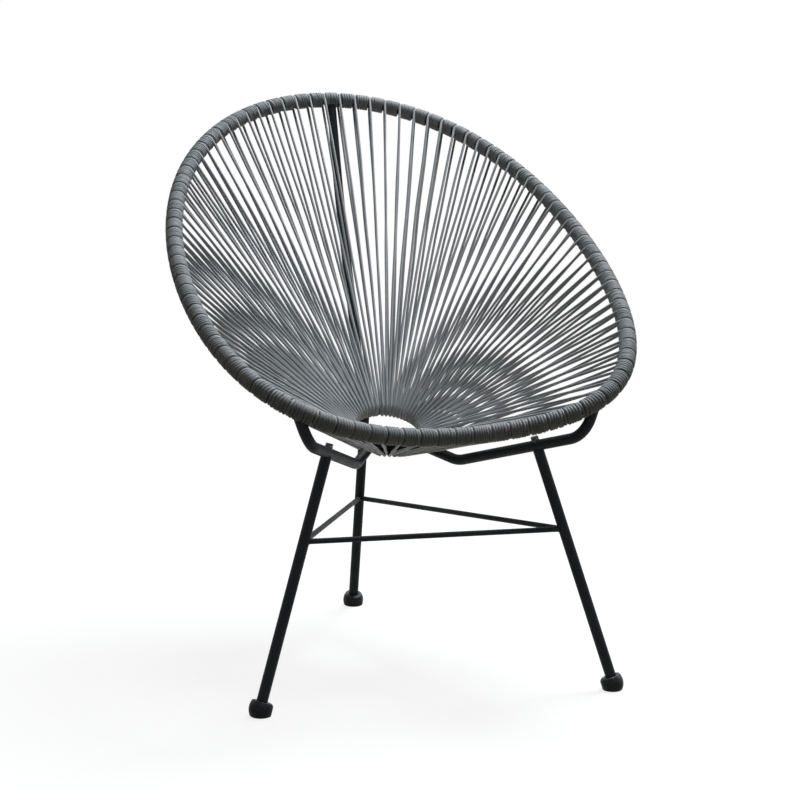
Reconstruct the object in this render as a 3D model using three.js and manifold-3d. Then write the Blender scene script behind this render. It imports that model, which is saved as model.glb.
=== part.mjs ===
// Acapulco chair: an egg-shaped tube rim laced with cord to a small hub ring, on three bolted legs.
// Millimetres, +Z up. The chair faces -Y, is symmetric about x = 0 and stands on z = 0.

import * as THREE from 'three';
import { mergeVertices } from 'three/addons/utils/BufferGeometryUtils.js';
import Module from 'manifold-3d';

const wasm = await Module();
wasm.setup();

// Stock: cord, tubes, rods and the gap that touching pieces keep
const seatGap = 0.3;
const cordDiameter = 4.2;
const rimTubeDiameter = 16;
const hubTubeDiameter = 16;
const bracketTubeDiameter = 16;
const spineTubeDiameter = 16;
const legDiameter = 16;
const legWall = 1.5;
const braceDiameter = 8;

// Rim: a closed curve whose egg shape comes from a few waves, each a share of the half size
const rimHalfWidth = 329;
const rimHalfDepth = 390;
const rimHalfRise = 240;
const rimMidHeight = 589;
const rimMidDepth = -6;
const rimWidthShares = [1, 0.116, 0.014];
const rimDepthShares = [1, 0.271, -0.058];
const rimRiseShares = [1, 0.165, 0.011, -0.01];

// Cord binding wound round the rim: one swelling between each two loops of the lacing
const bindingCrestDiameter = 25.6;
const bindingValleyDiameter = 21.4;
const bindingGroupCounts = [11, 12, 12, 12, 11, 12, 12, 12];

// Hub ring under the seat, tilted with its back edge up
const hubRadius = 62;
const hubHeight = 347;
const hubDepth = 50;
const hubTiltDegrees = 22;
const hubLayerGap = 0.5;

// Lacing: loops between the rim and the hub, counted from the top of the rim round by the right side
const sideLoops = 39;
const frontLoops = 16;
const loopsPerSector = 6.5;
const frontSpacingShare = 0.96;
const bracketJointRoom = 2.4;
const spineJointRoom = 0.5;

// Side brackets: bent tubes from the rim, down under the seat and in to the hub
const bracketHubDegrees = 143.5;
const bracketRimShift = 4.5;
const bracketHeelInset = 17;
const bracketHeelLead = 2;
const bracketHeelDrop = 48.5;
const bracketHeelBend = 40;
const bracketSeatReach = 90;
const bracketToeSetback = 90;
const bracketToeDrop = 15;
const bracketToeBend = 60;

// Spine: the bent tube behind the back, from the top of the rim to the hub, with its end pressed flat
const spineBowReach = 72;
const spineBowDrop = 170;
const spineBowBend = 900;
const spineHeelSetback = 107;
const spineHeelRise = 2;
const spineHeelBend = 28;
const spineSeatSetback = 85;
const spineFlatThickness = 3.5;
const spineFlatHeight = 23;
const spineFlatLength = 26;
const spineFlareLength = 16;

// Legs, their threaded inserts, bolts and washers
const frontFootHalfWidth = 266;
const frontFootDepth = 275;
const rearFootDepth = 274.5;
const insertLength = 25;
const insertWallGap = 0.3;
const boltDiameter = 6;
const boltHeadAcrossFlats = 10;
const boltHeadHeight = 4;
const boltReach = 18;
const washerDiameter = 12;
const washerThickness = 1.6;
const washerSkirt = 2.2;

// Brace rods between the legs
const frontBraceHeight = 236.5;
const rearBraceHeight = 197;

// Rubber feet: upright barrels, flat on the floor, with a top and a bore square to the leg
const footDiameter = 34.8;
const footSoleDiameter = 31;
const footWidestHeight = 9;
const footTopReach = 21.5;
const footShoulder = 4;
const footDish = 1.2;
const footDishDiameter = 25;
const footSole = 6;
const footCentreHeight = 15;

// Fineness of the round shapes
const tubeSides = 8;
const bentTubeSides = 12;
const cordSides = 4;
const roundSides = 16;
const footSides = 24;
const hubSides = 48;
const bendSag = 0.25;
const overrun = 40;

const cordRadius = cordDiameter / 2;
const wrapTurn = Math.PI / 6;
const loopCount = 2 * sideLoops + frontLoops;

const steel = { color: 0x1c1f24, roughness: 0.45, metalness: 0.5 };
const plating = { color: 0x24272c, roughness: 0.35, metalness: 0.8 };
const rubber = { color: 0x1d1f20, roughness: 0.8, metalness: 0 };
const cord = { color: 0x5d6368, roughness: 0.55, metalness: 0 };
const bindingCord = { color: 0x565b5e, roughness: 0.6, metalness: 0 };

// A number made of waves of the angle, each a share of the whole
function waves(wave, shares, angle) {
  return shares.reduce((sum, share, index) => sum + share * wave((index + 1) * angle), 0);
}

// The rim's centre line, once round from the top centre by the right side
class RimCurve extends THREE.Curve {
  getPoint(turn) {
    const angle = 2 * Math.PI * turn;
    return new THREE.Vector3(
      rimHalfWidth * waves(Math.sin, rimWidthShares, angle),
      rimMidDepth + rimHalfDepth * waves(Math.cos, rimDepthShares, angle),
      rimMidHeight + rimHalfRise * waves(Math.cos, rimRiseShares, angle),
    );
  }
}
const rim = new RimCurve();
rim.arcLengthDivisions = 1200;

const hubTilt = THREE.MathUtils.degToRad(hubTiltDegrees);
const hubCentre = new THREE.Vector3(0, hubDepth, hubHeight);
const hubBack = new THREE.Vector3(0, Math.cos(hubTilt), Math.sin(hubTilt));
const hubUp = new THREE.Vector3(0, -Math.sin(hubTilt), Math.cos(hubTilt));
const sideways = new THREE.Vector3(1, 0, 0);

// A point of the hub ring's centre line, at an angle from its back by the right side
function hubPoint(angle) {
  return hubCentre.clone()
    .addScaledVector(sideways, hubRadius * Math.sin(angle))
    .addScaledVector(hubBack, hubRadius * Math.cos(angle));
}

// Place along the rim of a loop or, at half steps, of the middle of a binding group.
// The front loops stand a little closer together, which leaves the brackets room beside them.
function rimPlace(loop) {
  const even = THREE.MathUtils.euclideanModulo((loop + 0.5) / loopCount, 1);
  const fromFront = even - 0.5;
  const inFront = Math.abs(fromFront) * loopCount < frontLoops / 2;
  return inFront ? 0.5 + frontSpacingShare * fromFront : even;
}

// The part of a direction that is square to an axis, as a unit vector
function squareTo(direction, axis) {
  return direction.clone().addScaledVector(axis, -direction.dot(axis)).normalize();
}

// A ring of points round the rim's centre line
function rimRing(place, radius) {
  const centre = rim.getPointAt(place);
  const along = rim.getTangentAt(place);
  const outward = squareTo(centre.clone().sub(hubCentre), along);
  const upward = new THREE.Vector3().crossVectors(along, outward);
  return Array.from({ length: tubeSides }, (_, corner) => {
    const angle = 2 * Math.PI * corner / tubeSides;
    return centre.clone()
      .addScaledVector(outward, radius * Math.cos(angle))
      .addScaledVector(upward, radius * Math.sin(angle));
  });
}

// A closed skin over a row of rings, joined end to start or capped at both ends
function skin(rings, joined) {
  const sides = rings[0].length;
  const positions = rings.flat().flatMap((point) => point.toArray());
  const faces = [];
  const spans = joined ? rings.length : rings.length - 1;
  for (let row = 0; row < spans; row += 1) {
    const next = (row + 1) % rings.length;
    for (let corner = 0; corner < sides; corner += 1) {
      const beside = (corner + 1) % sides;
      const a = row * sides + corner;
      const b = row * sides + beside;
      const c = next * sides + beside;
      const d = next * sides + corner;
      faces.push(a, b, c, a, c, d);
    }
  }
  if (!joined) {
    const last = (rings.length - 1) * sides;
    for (let corner = 1; corner < sides - 1; corner += 1) {
      faces.push(0, corner + 1, corner, last, last + corner, last + corner + 1);
    }
  }
  const geometry = new THREE.BufferGeometry();
  geometry.setAttribute('position', new THREE.Float32BufferAttribute(positions, 3));
  geometry.setIndex(faces);
  return facingOut(geometry);
}

// Turns a closed mesh's faces over where they point inwards
function facingOut(geometry) {
  const { position } = geometry.attributes;
  const faces = Array.from(geometry.index.array);
  const corner = (index) => new THREE.Vector3().fromBufferAttribute(position, faces[index]);
  let volume = 0;
  for (let face = 0; face < faces.length; face += 3) {
    volume += corner(face).dot(corner(face + 1).cross(corner(face + 2)));
  }
  geometry.setIndex(volume < 0 ? faces.reverse() : faces);
  return geometry;
}

// Rings of a cord along straight stretches, each corner mitred so that the section stays the same
function mitredRings(points, radius) {
  const first = points[1].clone().sub(points[0]).normalize();
  const across = squareTo(hubUp, first);
  const beside = new THREE.Vector3().crossVectors(first, across);
  let ring = Array.from({ length: cordSides }, (_, corner) => {
    const angle = 2 * Math.PI * (corner + 0.5) / cordSides;
    return points[0].clone()
      .addScaledVector(across, radius * Math.cos(angle))
      .addScaledVector(beside, radius * Math.sin(angle));
  });
  const rings = [ring];
  for (let index = 1; index < points.length; index += 1) {
    const inward = points[index].clone().sub(points[index - 1]).normalize();
    const onward = index + 1 < points.length
      ? points[index + 1].clone().sub(points[index]).normalize()
      : inward;
    const plane = inward.clone().add(onward).normalize();
    ring = ring.map((point) => {
      const travel = points[index].clone().sub(point).dot(plane) / inward.dot(plane);
      return point.clone().addScaledVector(inward, travel);
    });
    rings.push(ring);
  }
  return rings;
}

// Solids for cutting and joining
function merge(geometry) {
  geometry.deleteAttribute('normal');
  geometry.deleteAttribute('uv');
  return mergeVertices(geometry, seatGap / 1000);
}

function toSolid(geometry) {
  const merged = merge(geometry.clone());
  return new wasm.Manifold(new wasm.Mesh({
    numProp: 3,
    vertProperties: new Float32Array(merged.attributes.position.array),
    triVerts: new Uint32Array(merged.index.array),
  }));
}

function toGeometry(solid) {
  const mesh = solid.getMesh();
  const geometry = new THREE.BufferGeometry();
  geometry.setAttribute('position', new THREE.Float32BufferAttribute(mesh.vertProperties, 3));
  geometry.setIndex(Array.from(mesh.triVerts));
  return geometry;
}

function cut(geometry, ...tools) {
  return toGeometry(tools.reduce((solid, tool) => solid.subtract(toSolid(tool)), toSolid(geometry)));
}

function join(geometry, ...others) {
  return toGeometry(others.reduce((solid, other) => solid.add(toSolid(other)), toSolid(geometry)));
}

// A bent tube's rings: one at each end, and those of an arc round each bend
function tubeRings({ corners, bends, radius, across, pressed }, growth) {
  const rings = [];
  const addRing = (centre, heading, sideway, wide, tall) => {
    const upright = new THREE.Vector3().crossVectors(heading, sideway);
    rings.push(Array.from({ length: bentTubeSides }, (_, corner) => {
      const angle = 2 * Math.PI * (corner + 0.5) / bentTubeSides;
      return centre.clone()
        .addScaledVector(sideway, (wide + growth) * Math.cos(angle))
        .addScaledVector(upright, (tall + growth) * Math.sin(angle));
    }));
  };
  let heading = corners[1].clone().sub(corners[0]).normalize();
  let sideway = squareTo(across, heading);
  addRing(corners[0], heading, sideway, radius, radius);
  bends.forEach((bend, index) => {
    const corner = corners[index + 1];
    const onward = corners[index + 2].clone().sub(corner).normalize();
    const axis = new THREE.Vector3().crossVectors(heading, onward).normalize();
    const turn = heading.angleTo(onward);
    const enter = corner.clone().addScaledVector(heading, -bend * Math.tan(turn / 2));
    const centre = enter.clone().addScaledVector(axis.clone().cross(heading), bend);
    const steps = Math.ceil(turn / (2 * Math.acos(1 - bendSag / bend)));
    const turned = (vector, step) => vector.clone().applyAxisAngle(axis, turn * step / steps);
    for (let step = 0; step <= steps; step += 1) {
      const spot = turned(enter.clone().sub(centre), step).add(centre);
      addRing(spot, turned(heading, step), turned(sideway, step), radius, radius);
    }
    sideway = turned(sideway, steps);
    heading = onward;
  });
  const end = corners.at(-1);
  if (pressed) {
    const { flare, flat, wide, tall } = pressed;
    addRing(end.clone().addScaledVector(heading, -flat - flare), heading, sideway, radius, radius);
    addRing(end.clone().addScaledVector(heading, -flat), heading, sideway, wide, tall);
    addRing(end, heading, sideway, wide, tall);
  } else {
    addRing(end, heading, sideway, radius, radius);
  }
  return rings;
}

// A turned piece about Z, from a profile of radii and heights that closes on the axis or on itself
function turned(profile, sides) {
  const points = profile.map(([radius, height]) => new THREE.Vector2(radius, height));
  const geometry = new THREE.LatheGeometry(points, sides);
  geometry.rotateX(Math.PI / 2);
  return facingOut(merge(geometry));
}

// A straight round bar along Z, from a low to a high end
function bar(radius, low, high, sides = roundSides) {
  return turned([[0, low], [radius, low], [radius, high], [0, high]], sides);
}

// A straight pipe along Z, or a washer
function pipe(outer, inner, low, high) {
  return turned([[inner, low], [outer, low], [outer, high], [inner, high], [inner, low]], roundSides);
}

// The rim tube's skin, with its rings where the loops cross it
function rimSkin(radius) {
  return skin(Array.from({ length: loopCount }, (_, loop) => rimRing(rimPlace(loop), radius)), true);
}

// The hub ring's skin
function hubSkin(radius) {
  const section = Array.from({ length: tubeSides + 1 }, (_, corner) => {
    const angle = 2 * Math.PI * corner / tubeSides;
    return [hubRadius + radius * Math.cos(angle), radius * Math.sin(angle)];
  });
  const place = new THREE.Matrix4().makeBasis(sideways, hubBack, hubUp).setPosition(hubCentre);
  return turned(section, hubSides).applyMatrix4(place);
}

// One stretch of the binding: swellings between the loops outside, a plain bore round the rim tube
function bindingStretch(firstGroup, groups) {
  const endTrim = seatGap / 2 / rim.getLength();
  const low = rimPlace(firstGroup - 1) + endTrim;
  const slots = Array.from({ length: groups - 1 }, (_, group) => rimPlace(firstGroup + group));
  const high = rimPlace(firstGroup + groups - 1) - endTrim;
  const places = [low, ...slots, high];
  const outside = places.flatMap((place, index) => {
    const valley = rimRing(place, bindingValleyDiameter / 2);
    const crestPlace = rimPlace(firstGroup + index - 0.5);
    return index < groups ? [valley, rimRing(crestPlace, bindingCrestDiameter / 2)] : [valley];
  });
  const bore = places.map((place) => rimRing(place, rimTubeDiameter / 2 + seatGap));
  return skin([...outside, ...bore.reverse()], true);
}

// The straight line of a strand between the hub and the rim, on top of both or under both
function strandLine(hubAngle, hubWrap, place, side) {
  const hubCore = hubPoint(hubAngle);
  const rimCore = rim.getPointAt(place);
  const hubAlong = hubPoint(hubAngle + Math.PI / 2).sub(hubCentre).normalize();
  const rimAlong = rim.getTangentAt(place);
  const straight = rimCore.clone().sub(hubCore).normalize();
  const rise = (along) => {
    const up = new THREE.Vector3().crossVectors(along, straight).normalize();
    return up.multiplyScalar(side * Math.sign(up.dot(hubUp)));
  };
  const hubTouch = hubCore.addScaledVector(rise(hubAlong), hubWrap);
  const rimTouch = rimCore.addScaledVector(rise(rimAlong), rimWrap);
  const direction = rimTouch.clone().sub(hubTouch).normalize();
  const reach = (along, wrap) => wrap * Math.tan(wrapTurn) / Math.sin(direction.angleTo(along));
  return {
    direction,
    hubCorner: hubTouch.addScaledVector(direction, -reach(hubAlong, hubWrap)),
    rimCorner: rimTouch.addScaledVector(direction, reach(rimAlong, rimWrap)),
  };
}

const rimWrap = bindingValleyDiameter / 2 + seatGap + cordRadius;
const hubWraps = [0, 1].map((layer) => (
  hubTubeDiameter / 2 + seatGap + cordRadius + layer * (cordDiameter + hubLayerGap)
));

// The corners of one unbroken cord that makes the loops of one sector
function sectorCorners(run, firstLoop, loops) {
  const hubAngle = (wrap) => run.start + (run.end - run.start) * wrap / run.loops;
  const layer = (wrap) => hubWraps[wrap % 2];
  const line = (wrap, loop, side) => (
    strandLine(hubAngle(wrap), layer(wrap), rimPlace(run.firstLoop + loop), side)
  );
  const innerCorner = (wrap, direction) => {
    const core = hubPoint(hubAngle(wrap));
    const along = hubPoint(hubAngle(wrap) + Math.PI / 2).sub(hubCentre).normalize();
    return core.addScaledVector(squareTo(direction, along), -layer(wrap) / Math.cos(wrapTurn));
  };
  const pull = cordRadius * Math.tan(wrapTurn) + seatGap;
  const towards = (from, to) => from.clone().add(to.clone().sub(from).setLength(pull));
  const points = [];
  const opening = line(firstLoop, firstLoop, 1);
  const start = innerCorner(firstLoop, opening.direction);
  if (firstLoop === 0) {
    points.push(line(0, 0, -1).hubCorner, start);
  } else {
    points.push(towards(start, opening.hubCorner));
  }
  for (let loop = firstLoop; loop < firstLoop + loops; loop += 1) {
    const top = line(loop, loop, 1);
    const under = line(loop + 1, loop, -1);
    const place = rimPlace(run.firstLoop + loop);
    const outward = squareTo(top.direction, rim.getTangentAt(place));
    points.push(top.hubCorner, top.rimCorner);
    points.push(rim.getPointAt(place).addScaledVector(outward, rimWrap / Math.cos(wrapTurn)));
    points.push(under.rimCorner, under.hubCorner);
    const turn = innerCorner(loop + 1, under.direction);
    if (loop + 1 < firstLoop + loops) {
      points.push(turn);
    } else if (loop + 1 < run.loops) {
      points.push(towards(turn, under.hubCorner));
    } else {
      points.push(turn, line(run.loops, loop, 1).hubCorner);
    }
  }
  return points;
}

// Half the angle on the hub that a joint of a given thickness takes up between the wraps
function jointHalfAngle(thickness, room) {
  return Math.asin((thickness / 2 + cordRadius + room) / hubRadius);
}

// The three runs of loops, parted on the hub where the spine and the brackets meet it
const bracketAngle = THREE.MathUtils.degToRad(bracketHubDegrees);
const spineHalf = jointHalfAngle(spineFlatThickness, spineJointRoom);
const bracketHalf = jointHalfAngle(bracketTubeDiameter, bracketJointRoom);
const runs = [
  { loops: sideLoops, firstLoop: 0, start: spineHalf, end: bracketAngle - bracketHalf },
  {
    loops: frontLoops,
    firstLoop: sideLoops,
    start: bracketAngle + bracketHalf,
    end: 2 * Math.PI - bracketAngle - bracketHalf,
  },
  {
    loops: sideLoops,
    firstLoop: sideLoops + frontLoops,
    start: 2 * Math.PI - bracketAngle + bracketHalf,
    end: 2 * Math.PI - spineHalf,
  },
];

// Points along a cord, close enough together to measure the gaps on
function along(points) {
  const spacing = cordDiameter;
  return points.slice(1).flatMap((point, index) => {
    const from = points[index];
    const steps = Math.ceil(from.distanceTo(point) / spacing);
    return Array.from({ length: steps }, (_, step) => from.clone().lerp(point, step / steps));
  });
}

// The least gap between the strands of one sector, between each loop and the next two
function leastGap(points) {
  const cornersPerLoop = 6;
  const loops = [];
  for (let first = 1; first + cornersPerLoop <= points.length; first += cornersPerLoop) {
    loops.push(along(points.slice(first, first + cornersPerLoop - 1)));
  }
  let least = Infinity;
  loops.forEach((loop, index) => {
    for (const other of loops.slice(index + 1, index + 3)) {
      for (const point of loop) {
        least = Math.min(least, ...other.map((spot) => spot.distanceTo(point)));
      }
    }
  });
  return least - cordDiameter;
}

const chair = new THREE.Group();
const frame = new THREE.Group();
const lacing = new THREE.Group();
const stand = new THREE.Group();
chair.add(frame, lacing, stand);

function addPiece(group, name, geometry, look, place = new THREE.Matrix4()) {
  const mesh = new THREE.Mesh(geometry, new THREE.MeshStandardMaterial(look));
  mesh.name = name;
  mesh.applyMatrix4(place);
  group.add(mesh);
}

// A bracket's route: from the rim down to its heel, then in an upright plane to its toe and the hub
function bracketRoute(side) {
  const turn = sideLoops / loopCount - bracketRimShift / rim.getLength();
  const rimJoint = rim.getPointAt(side > 0 ? turn : 1 - turn);
  const hubJoint = hubPoint(side * bracketAngle);
  const heel = rimJoint.clone().add(
    new THREE.Vector3(-side * bracketHeelInset, -bracketHeelLead, -bracketHeelDrop),
  );
  const inward = hubJoint.clone().sub(heel).setZ(0);
  const run = inward.length() - bracketToeSetback;
  inward.normalize();
  const toe = hubJoint.clone().addScaledVector(inward, -bracketToeSetback);
  toe.z -= bracketToeDrop;
  return {
    seat: heel.clone().lerp(toe, bracketSeatReach / run),
    radius: bracketTubeDiameter / 2,
    across: inward.cross(new THREE.Vector3(0, 0, 1)),
    corners: [
      setBack(rimJoint, heel, rimTubeDiameter / 4),
      heel,
      toe,
      setBack(hubJoint, toe, hubTubeDiameter / 4),
    ],
    bends: [bracketHeelBend, bracketToeBend],
  };
}

// A tube's end, a little short of the centre of the tube that it is welded to
function setBack(joint, neighbour, distance) {
  return joint.clone().add(neighbour.clone().sub(joint).setLength(distance));
}

// The spine's route, in the plane x = 0, with the flat that it ends in
function spineRoute() {
  const rimJoint = rim.getPointAt(0);
  const hubJoint = hubPoint(0);
  const bow = rimJoint.clone().add(new THREE.Vector3(0, -spineBowReach, -spineBowDrop));
  const heel = hubJoint.clone().add(new THREE.Vector3(0, spineHeelSetback, spineHeelRise));
  return {
    seat: hubJoint.clone().lerp(heel, spineSeatSetback / spineHeelSetback),
    radius: spineTubeDiameter / 2,
    across: sideways,
    corners: [
      setBack(rimJoint, bow, rimTubeDiameter / 4),
      bow,
      heel,
      setBack(hubJoint, heel, hubTubeDiameter / 4),
    ],
    bends: [spineBowBend, spineHeelBend],
    pressed: {
      flat: spineFlatLength,
      flare: spineFlareLength,
      wide: spineFlatThickness / 2,
      tall: spineFlatHeight / 2,
    },
  };
}

// A leg's own frame: its foot on the floor at the origin, +Z up the leg to its seat under the tube
function legPlace(foot, seat) {
  const axis = seat.clone().sub(foot).normalize();
  const turn = new THREE.Quaternion().setFromUnitVectors(new THREE.Vector3(0, 0, 1), axis);
  return new THREE.Matrix4().compose(foot, turn, new THREE.Vector3(1, 1, 1));
}

// The three legs with the tubes that they carry: where each stands and where it meets its tube
const supports = [
  {
    name: 'front_right',
    tube: 'bracket_right',
    foot: [frontFootHalfWidth, -frontFootDepth],
    route: bracketRoute(1),
  },
  {
    name: 'front_left',
    tube: 'bracket_left',
    foot: [-frontFootHalfWidth, -frontFootDepth],
    route: bracketRoute(-1),
  },
  {
    name: 'rear',
    tube: 'spine_tube',
    foot: [0, rearFootDepth],
    route: spineRoute(),
  },
].map((support) => {
  const floor = new THREE.Vector3(support.foot[0], support.foot[1], 0);
  return {
    ...support,
    floor,
    place: legPlace(floor, support.route.seat),
    length: floor.distanceTo(support.route.seat),
    height: support.route.seat.z,
  };
});

// A support's tube, or the room that it takes when grown
function supportTube(support, growth) {
  return skin(tubeRings(support.route, growth), false);
}

// The welded frame: rim, hub, spine and brackets, each tube coped to the one that it meets
function addFrame() {
  addPiece(frame, 'rim_tube', rimSkin(rimTubeDiameter / 2), steel);
  addPiece(frame, 'hub_ring', hubSkin(hubTubeDiameter / 2), steel);
  const grownRim = rimSkin(rimTubeDiameter / 2 + seatGap);
  const grownHub = hubSkin(hubTubeDiameter / 2 + seatGap);
  for (const support of supports) {
    const { length, place } = support;
    const hole = bar(boltDiameter / 2 + seatGap, length - overrun, length + overrun);
    hole.applyMatrix4(place);
    addPiece(frame, support.tube, cut(supportTube(support, 0), grownRim, grownHub, hole), steel);
  }
}

// The binding, opened where the spine and the brackets reach the rim tube
function addBinding() {
  const tools = supports.map((support) => supportTube(support, seatGap));
  let group = -(bindingGroupCounts[0] - 1) / 2;
  bindingGroupCounts.forEach((groups, index) => {
    const geometry = cut(bindingStretch(group, groups), ...tools);
    addPiece(lacing, `rim_binding_${index + 1}`, geometry, bindingCord);
    group += groups;
  });
}

// The lacing, in sectors of one unbroken cord each
function addLacing() {
  let number = 1;
  let least = Infinity;
  for (const run of runs) {
    const sectors = Math.round(run.loops / loopsPerSector);
    for (let sector = 0; sector < sectors; sector += 1) {
      const first = Math.round(sector * run.loops / sectors);
      const next = Math.round((sector + 1) * run.loops / sectors);
      const points = sectorCorners(run, first, next - first);
      least = Math.min(least, leastGap(points));
      const name = `lacing_${String(number).padStart(2, '0')}`;
      addPiece(lacing, name, skin(mitredRings(points, cordRadius), false), cord);
      number += 1;
    }
  }
  console.log(`least gap between the strands: ${least.toFixed(2)} mm`);
}

// The solid that two share
function common(geometry, other) {
  return toGeometry(toSolid(geometry).intersect(toSolid(other)));
}

// An arc's points in a profile of radii and heights, both ends included
function profileArc(centreRadius, centreHeight, size, fromDegrees, toDegrees, steps) {
  return Array.from({ length: steps + 1 }, (_, step) => {
    const angle = THREE.MathUtils.degToRad(fromDegrees + (toDegrees - fromDegrees) * step / steps);
    return [centreRadius + size * Math.cos(angle), centreHeight + size * Math.sin(angle)];
  });
}

// A foot: an upright barrel under the leg's end, its top rounded, dished and bored along the leg
function footSkin({ floor, place }) {
  const radius = footDiameter / 2;
  const tuck = radius - footSoleDiameter / 2;
  const bulge = (footWidestHeight ** 2 + tuck ** 2) / (2 * tuck);
  const sink = THREE.MathUtils.radToDeg(Math.asin(footWidestHeight / bulge));
  const rise = THREE.MathUtils.radToDeg(Math.asin((footTopReach - footWidestHeight) / bulge));
  const side = profileArc(radius - bulge, footWidestHeight, bulge, -sink, 1.5 * rise, 6);
  const barrel = turned([[0, 0], ...side, [0, side.at(-1)[1]]], footSides);
  const axis = new THREE.Vector3(0, 0, 1).transformDirection(place);
  const centre = floor.clone().addScaledVector(axis, footCentreHeight / axis.z).setZ(0);
  barrel.translate(centre.x, centre.y, 0);
  const shoulder = profileArc(radius - footShoulder, footTopReach - footShoulder, footShoulder, 0, 90, 3);
  const cap = turned([[0, -radius], [radius, -radius], ...shoulder, [0, footTopReach]], footSides);
  const bore = legDiameter / 2 + seatGap;
  const hollow = turned([
    [0, footSole - seatGap],
    [bore, footSole - seatGap],
    [bore, footTopReach - footDish],
    [footDishDiameter / 2, footTopReach],
    [footDishDiameter / 2, footTopReach + footDish],
    [0, footTopReach + footDish],
  ], footSides);
  return cut(common(barrel, cap.applyMatrix4(place)), hollow.applyMatrix4(place));
}

// Each leg with its insert, bolt, washer and foot, in the leg's own frame
function addStand() {
  for (const support of supports) {
    const { name, place, length } = support;
    const tubeRadius = support.route.radius;
    const saddle = supportTube(support, seatGap).applyMatrix4(place.clone().invert());
    const top = length - tubeRadius / 2;
    const legBore = legDiameter / 2 - legWall;
    const boltBore = boltDiameter / 2 + seatGap;
    const insertLow = length - tubeRadius - insertLength;
    const washerTop = length + tubeRadius + seatGap + washerThickness;
    const headLow = washerTop + seatGap;
    const head = bar(boltHeadAcrossFlats / Math.sqrt(3), headLow, headLow + boltHeadHeight, 6);
    const shank = bar(boltDiameter / 2, length - tubeRadius - boltReach, headLow + boltHeadHeight / 2);
    const leg = cut(pipe(legDiameter / 2, legBore, footSole, top), saddle);
    const insert = cut(pipe(legBore - insertWallGap, boltBore, insertLow, top), saddle);
    const washerLow = length + tubeRadius - washerSkirt;
    const washer = cut(pipe(washerDiameter / 2, boltBore, washerLow, washerTop), saddle);
    addPiece(stand, `leg_${name}`, leg, steel, place);
    addPiece(stand, `leg_insert_${name}`, insert, plating, place);
    addPiece(stand, `bolt_${name}`, join(head, shank), plating, place);
    addPiece(stand, `saddle_washer_${name}`, washer, plating, place);
    addPiece(stand, `foot_${name}`, footSkin(support), rubber);
  }
}

// The brace rods, coped to the legs and to one another
function addBraces() {
  const heights = [frontBraceHeight, frontBraceHeight, rearBraceHeight];
  const joinsAt = supports.map(({ place, length, height }, index) => (
    new THREE.Vector3(0, 0, length * heights[index] / height).applyMatrix4(place)
  ));
  const legs = supports.map(({ place, length }) => (
    bar(legDiameter / 2 + seatGap, 0, length).applyMatrix4(place)
  ));
  const rods = [
    { name: 'brace_front', from: joinsAt[1], to: joinsAt[0] },
    { name: 'brace_right', from: joinsAt[0], to: joinsAt[2] },
    { name: 'brace_left', from: joinsAt[1], to: joinsAt[2] },
  ];
  const rodSolid = ({ from, to }, radius) => (
    bar(radius, 0, from.distanceTo(to), bentTubeSides).applyMatrix4(legPlace(from, to))
  );
  const fitted = [];
  for (const rod of rods) {
    const rodGeometry = cut(rodSolid(rod, braceDiameter / 2), ...legs, ...fitted);
    addPiece(stand, rod.name, rodGeometry, steel);
    fitted.push(rodSolid(rod, braceDiameter / 2 + seatGap));
  }
}

addFrame();
addBinding();
addLacing();
addStand();
addBraces();

// The origin lies under the middle of the chair, on the floor
const reach = new THREE.Box3().setFromObject(chair, true);
chair.position.y = -(reach.min.y + reach.max.y) / 2;

export default chair;
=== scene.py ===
"""Looks of an acapulco chair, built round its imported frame.

An egg-shaped rim is wound with cord, strands run from it to a small hub ring under the seat, and
three splayed legs carry the whole on rubber feet. Everything is in metres, +Z up, the chair faces
-Y and is symmetric about x = 0. Left and right are as seen from the front.
"""

import bisect
import logging
import math
import random
from collections.abc import Callable, Iterator, Sequence
from contextlib import contextmanager
from dataclasses import dataclass, field
from enum import Enum
from functools import cached_property

import bpy
from mathutils import Matrix, Vector


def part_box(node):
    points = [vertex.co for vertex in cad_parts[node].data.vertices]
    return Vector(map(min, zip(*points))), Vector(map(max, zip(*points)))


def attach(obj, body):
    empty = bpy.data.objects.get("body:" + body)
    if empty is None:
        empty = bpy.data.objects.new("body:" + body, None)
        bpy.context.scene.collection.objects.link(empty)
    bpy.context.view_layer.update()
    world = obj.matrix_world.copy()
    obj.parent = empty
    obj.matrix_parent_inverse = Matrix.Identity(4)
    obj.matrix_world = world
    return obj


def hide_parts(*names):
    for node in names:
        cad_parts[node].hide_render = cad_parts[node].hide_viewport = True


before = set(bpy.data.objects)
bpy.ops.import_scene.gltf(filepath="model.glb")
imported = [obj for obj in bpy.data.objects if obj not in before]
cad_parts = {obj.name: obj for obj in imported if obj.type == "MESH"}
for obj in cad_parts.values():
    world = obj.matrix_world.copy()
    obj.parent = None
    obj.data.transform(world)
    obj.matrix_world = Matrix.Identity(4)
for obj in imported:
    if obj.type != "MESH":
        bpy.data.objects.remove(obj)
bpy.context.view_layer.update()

log = logging.getLogger("acapulco_chair")
ROOT = "root"
MERGE_DISTANCE = 1e-6
SIDEWAYS = Vector((1.0, 0.0, 0.0))


class Slot(Enum):
    """The chair's material slots."""

    STEEL = "frame_steel"
    FASTENER = "fastener_steel"
    RUBBER = "foot_rubber"
    LACING = "lacing_cord"
    BINDING = "binding_cord"


class Side(Enum):
    """A side of the chair, with the sign of its x."""

    RIGHT = 1
    LEFT = -1


class Carve(Enum):
    """What another solid does to a piece, by the Boolean modifier's name for it."""

    CUT = "DIFFERENCE"
    JOIN = "UNION"
    TRIM = "INTERSECT"


# Modelling helpers


def select_only(obj: bpy.types.Object) -> None:
    """Makes one object the only selected and the active one.

    Args:
        obj: the object to select.
    """
    bpy.ops.object.select_all(action="DESELECT")
    obj.select_set(True)
    bpy.context.view_layer.objects.active = obj


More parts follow.
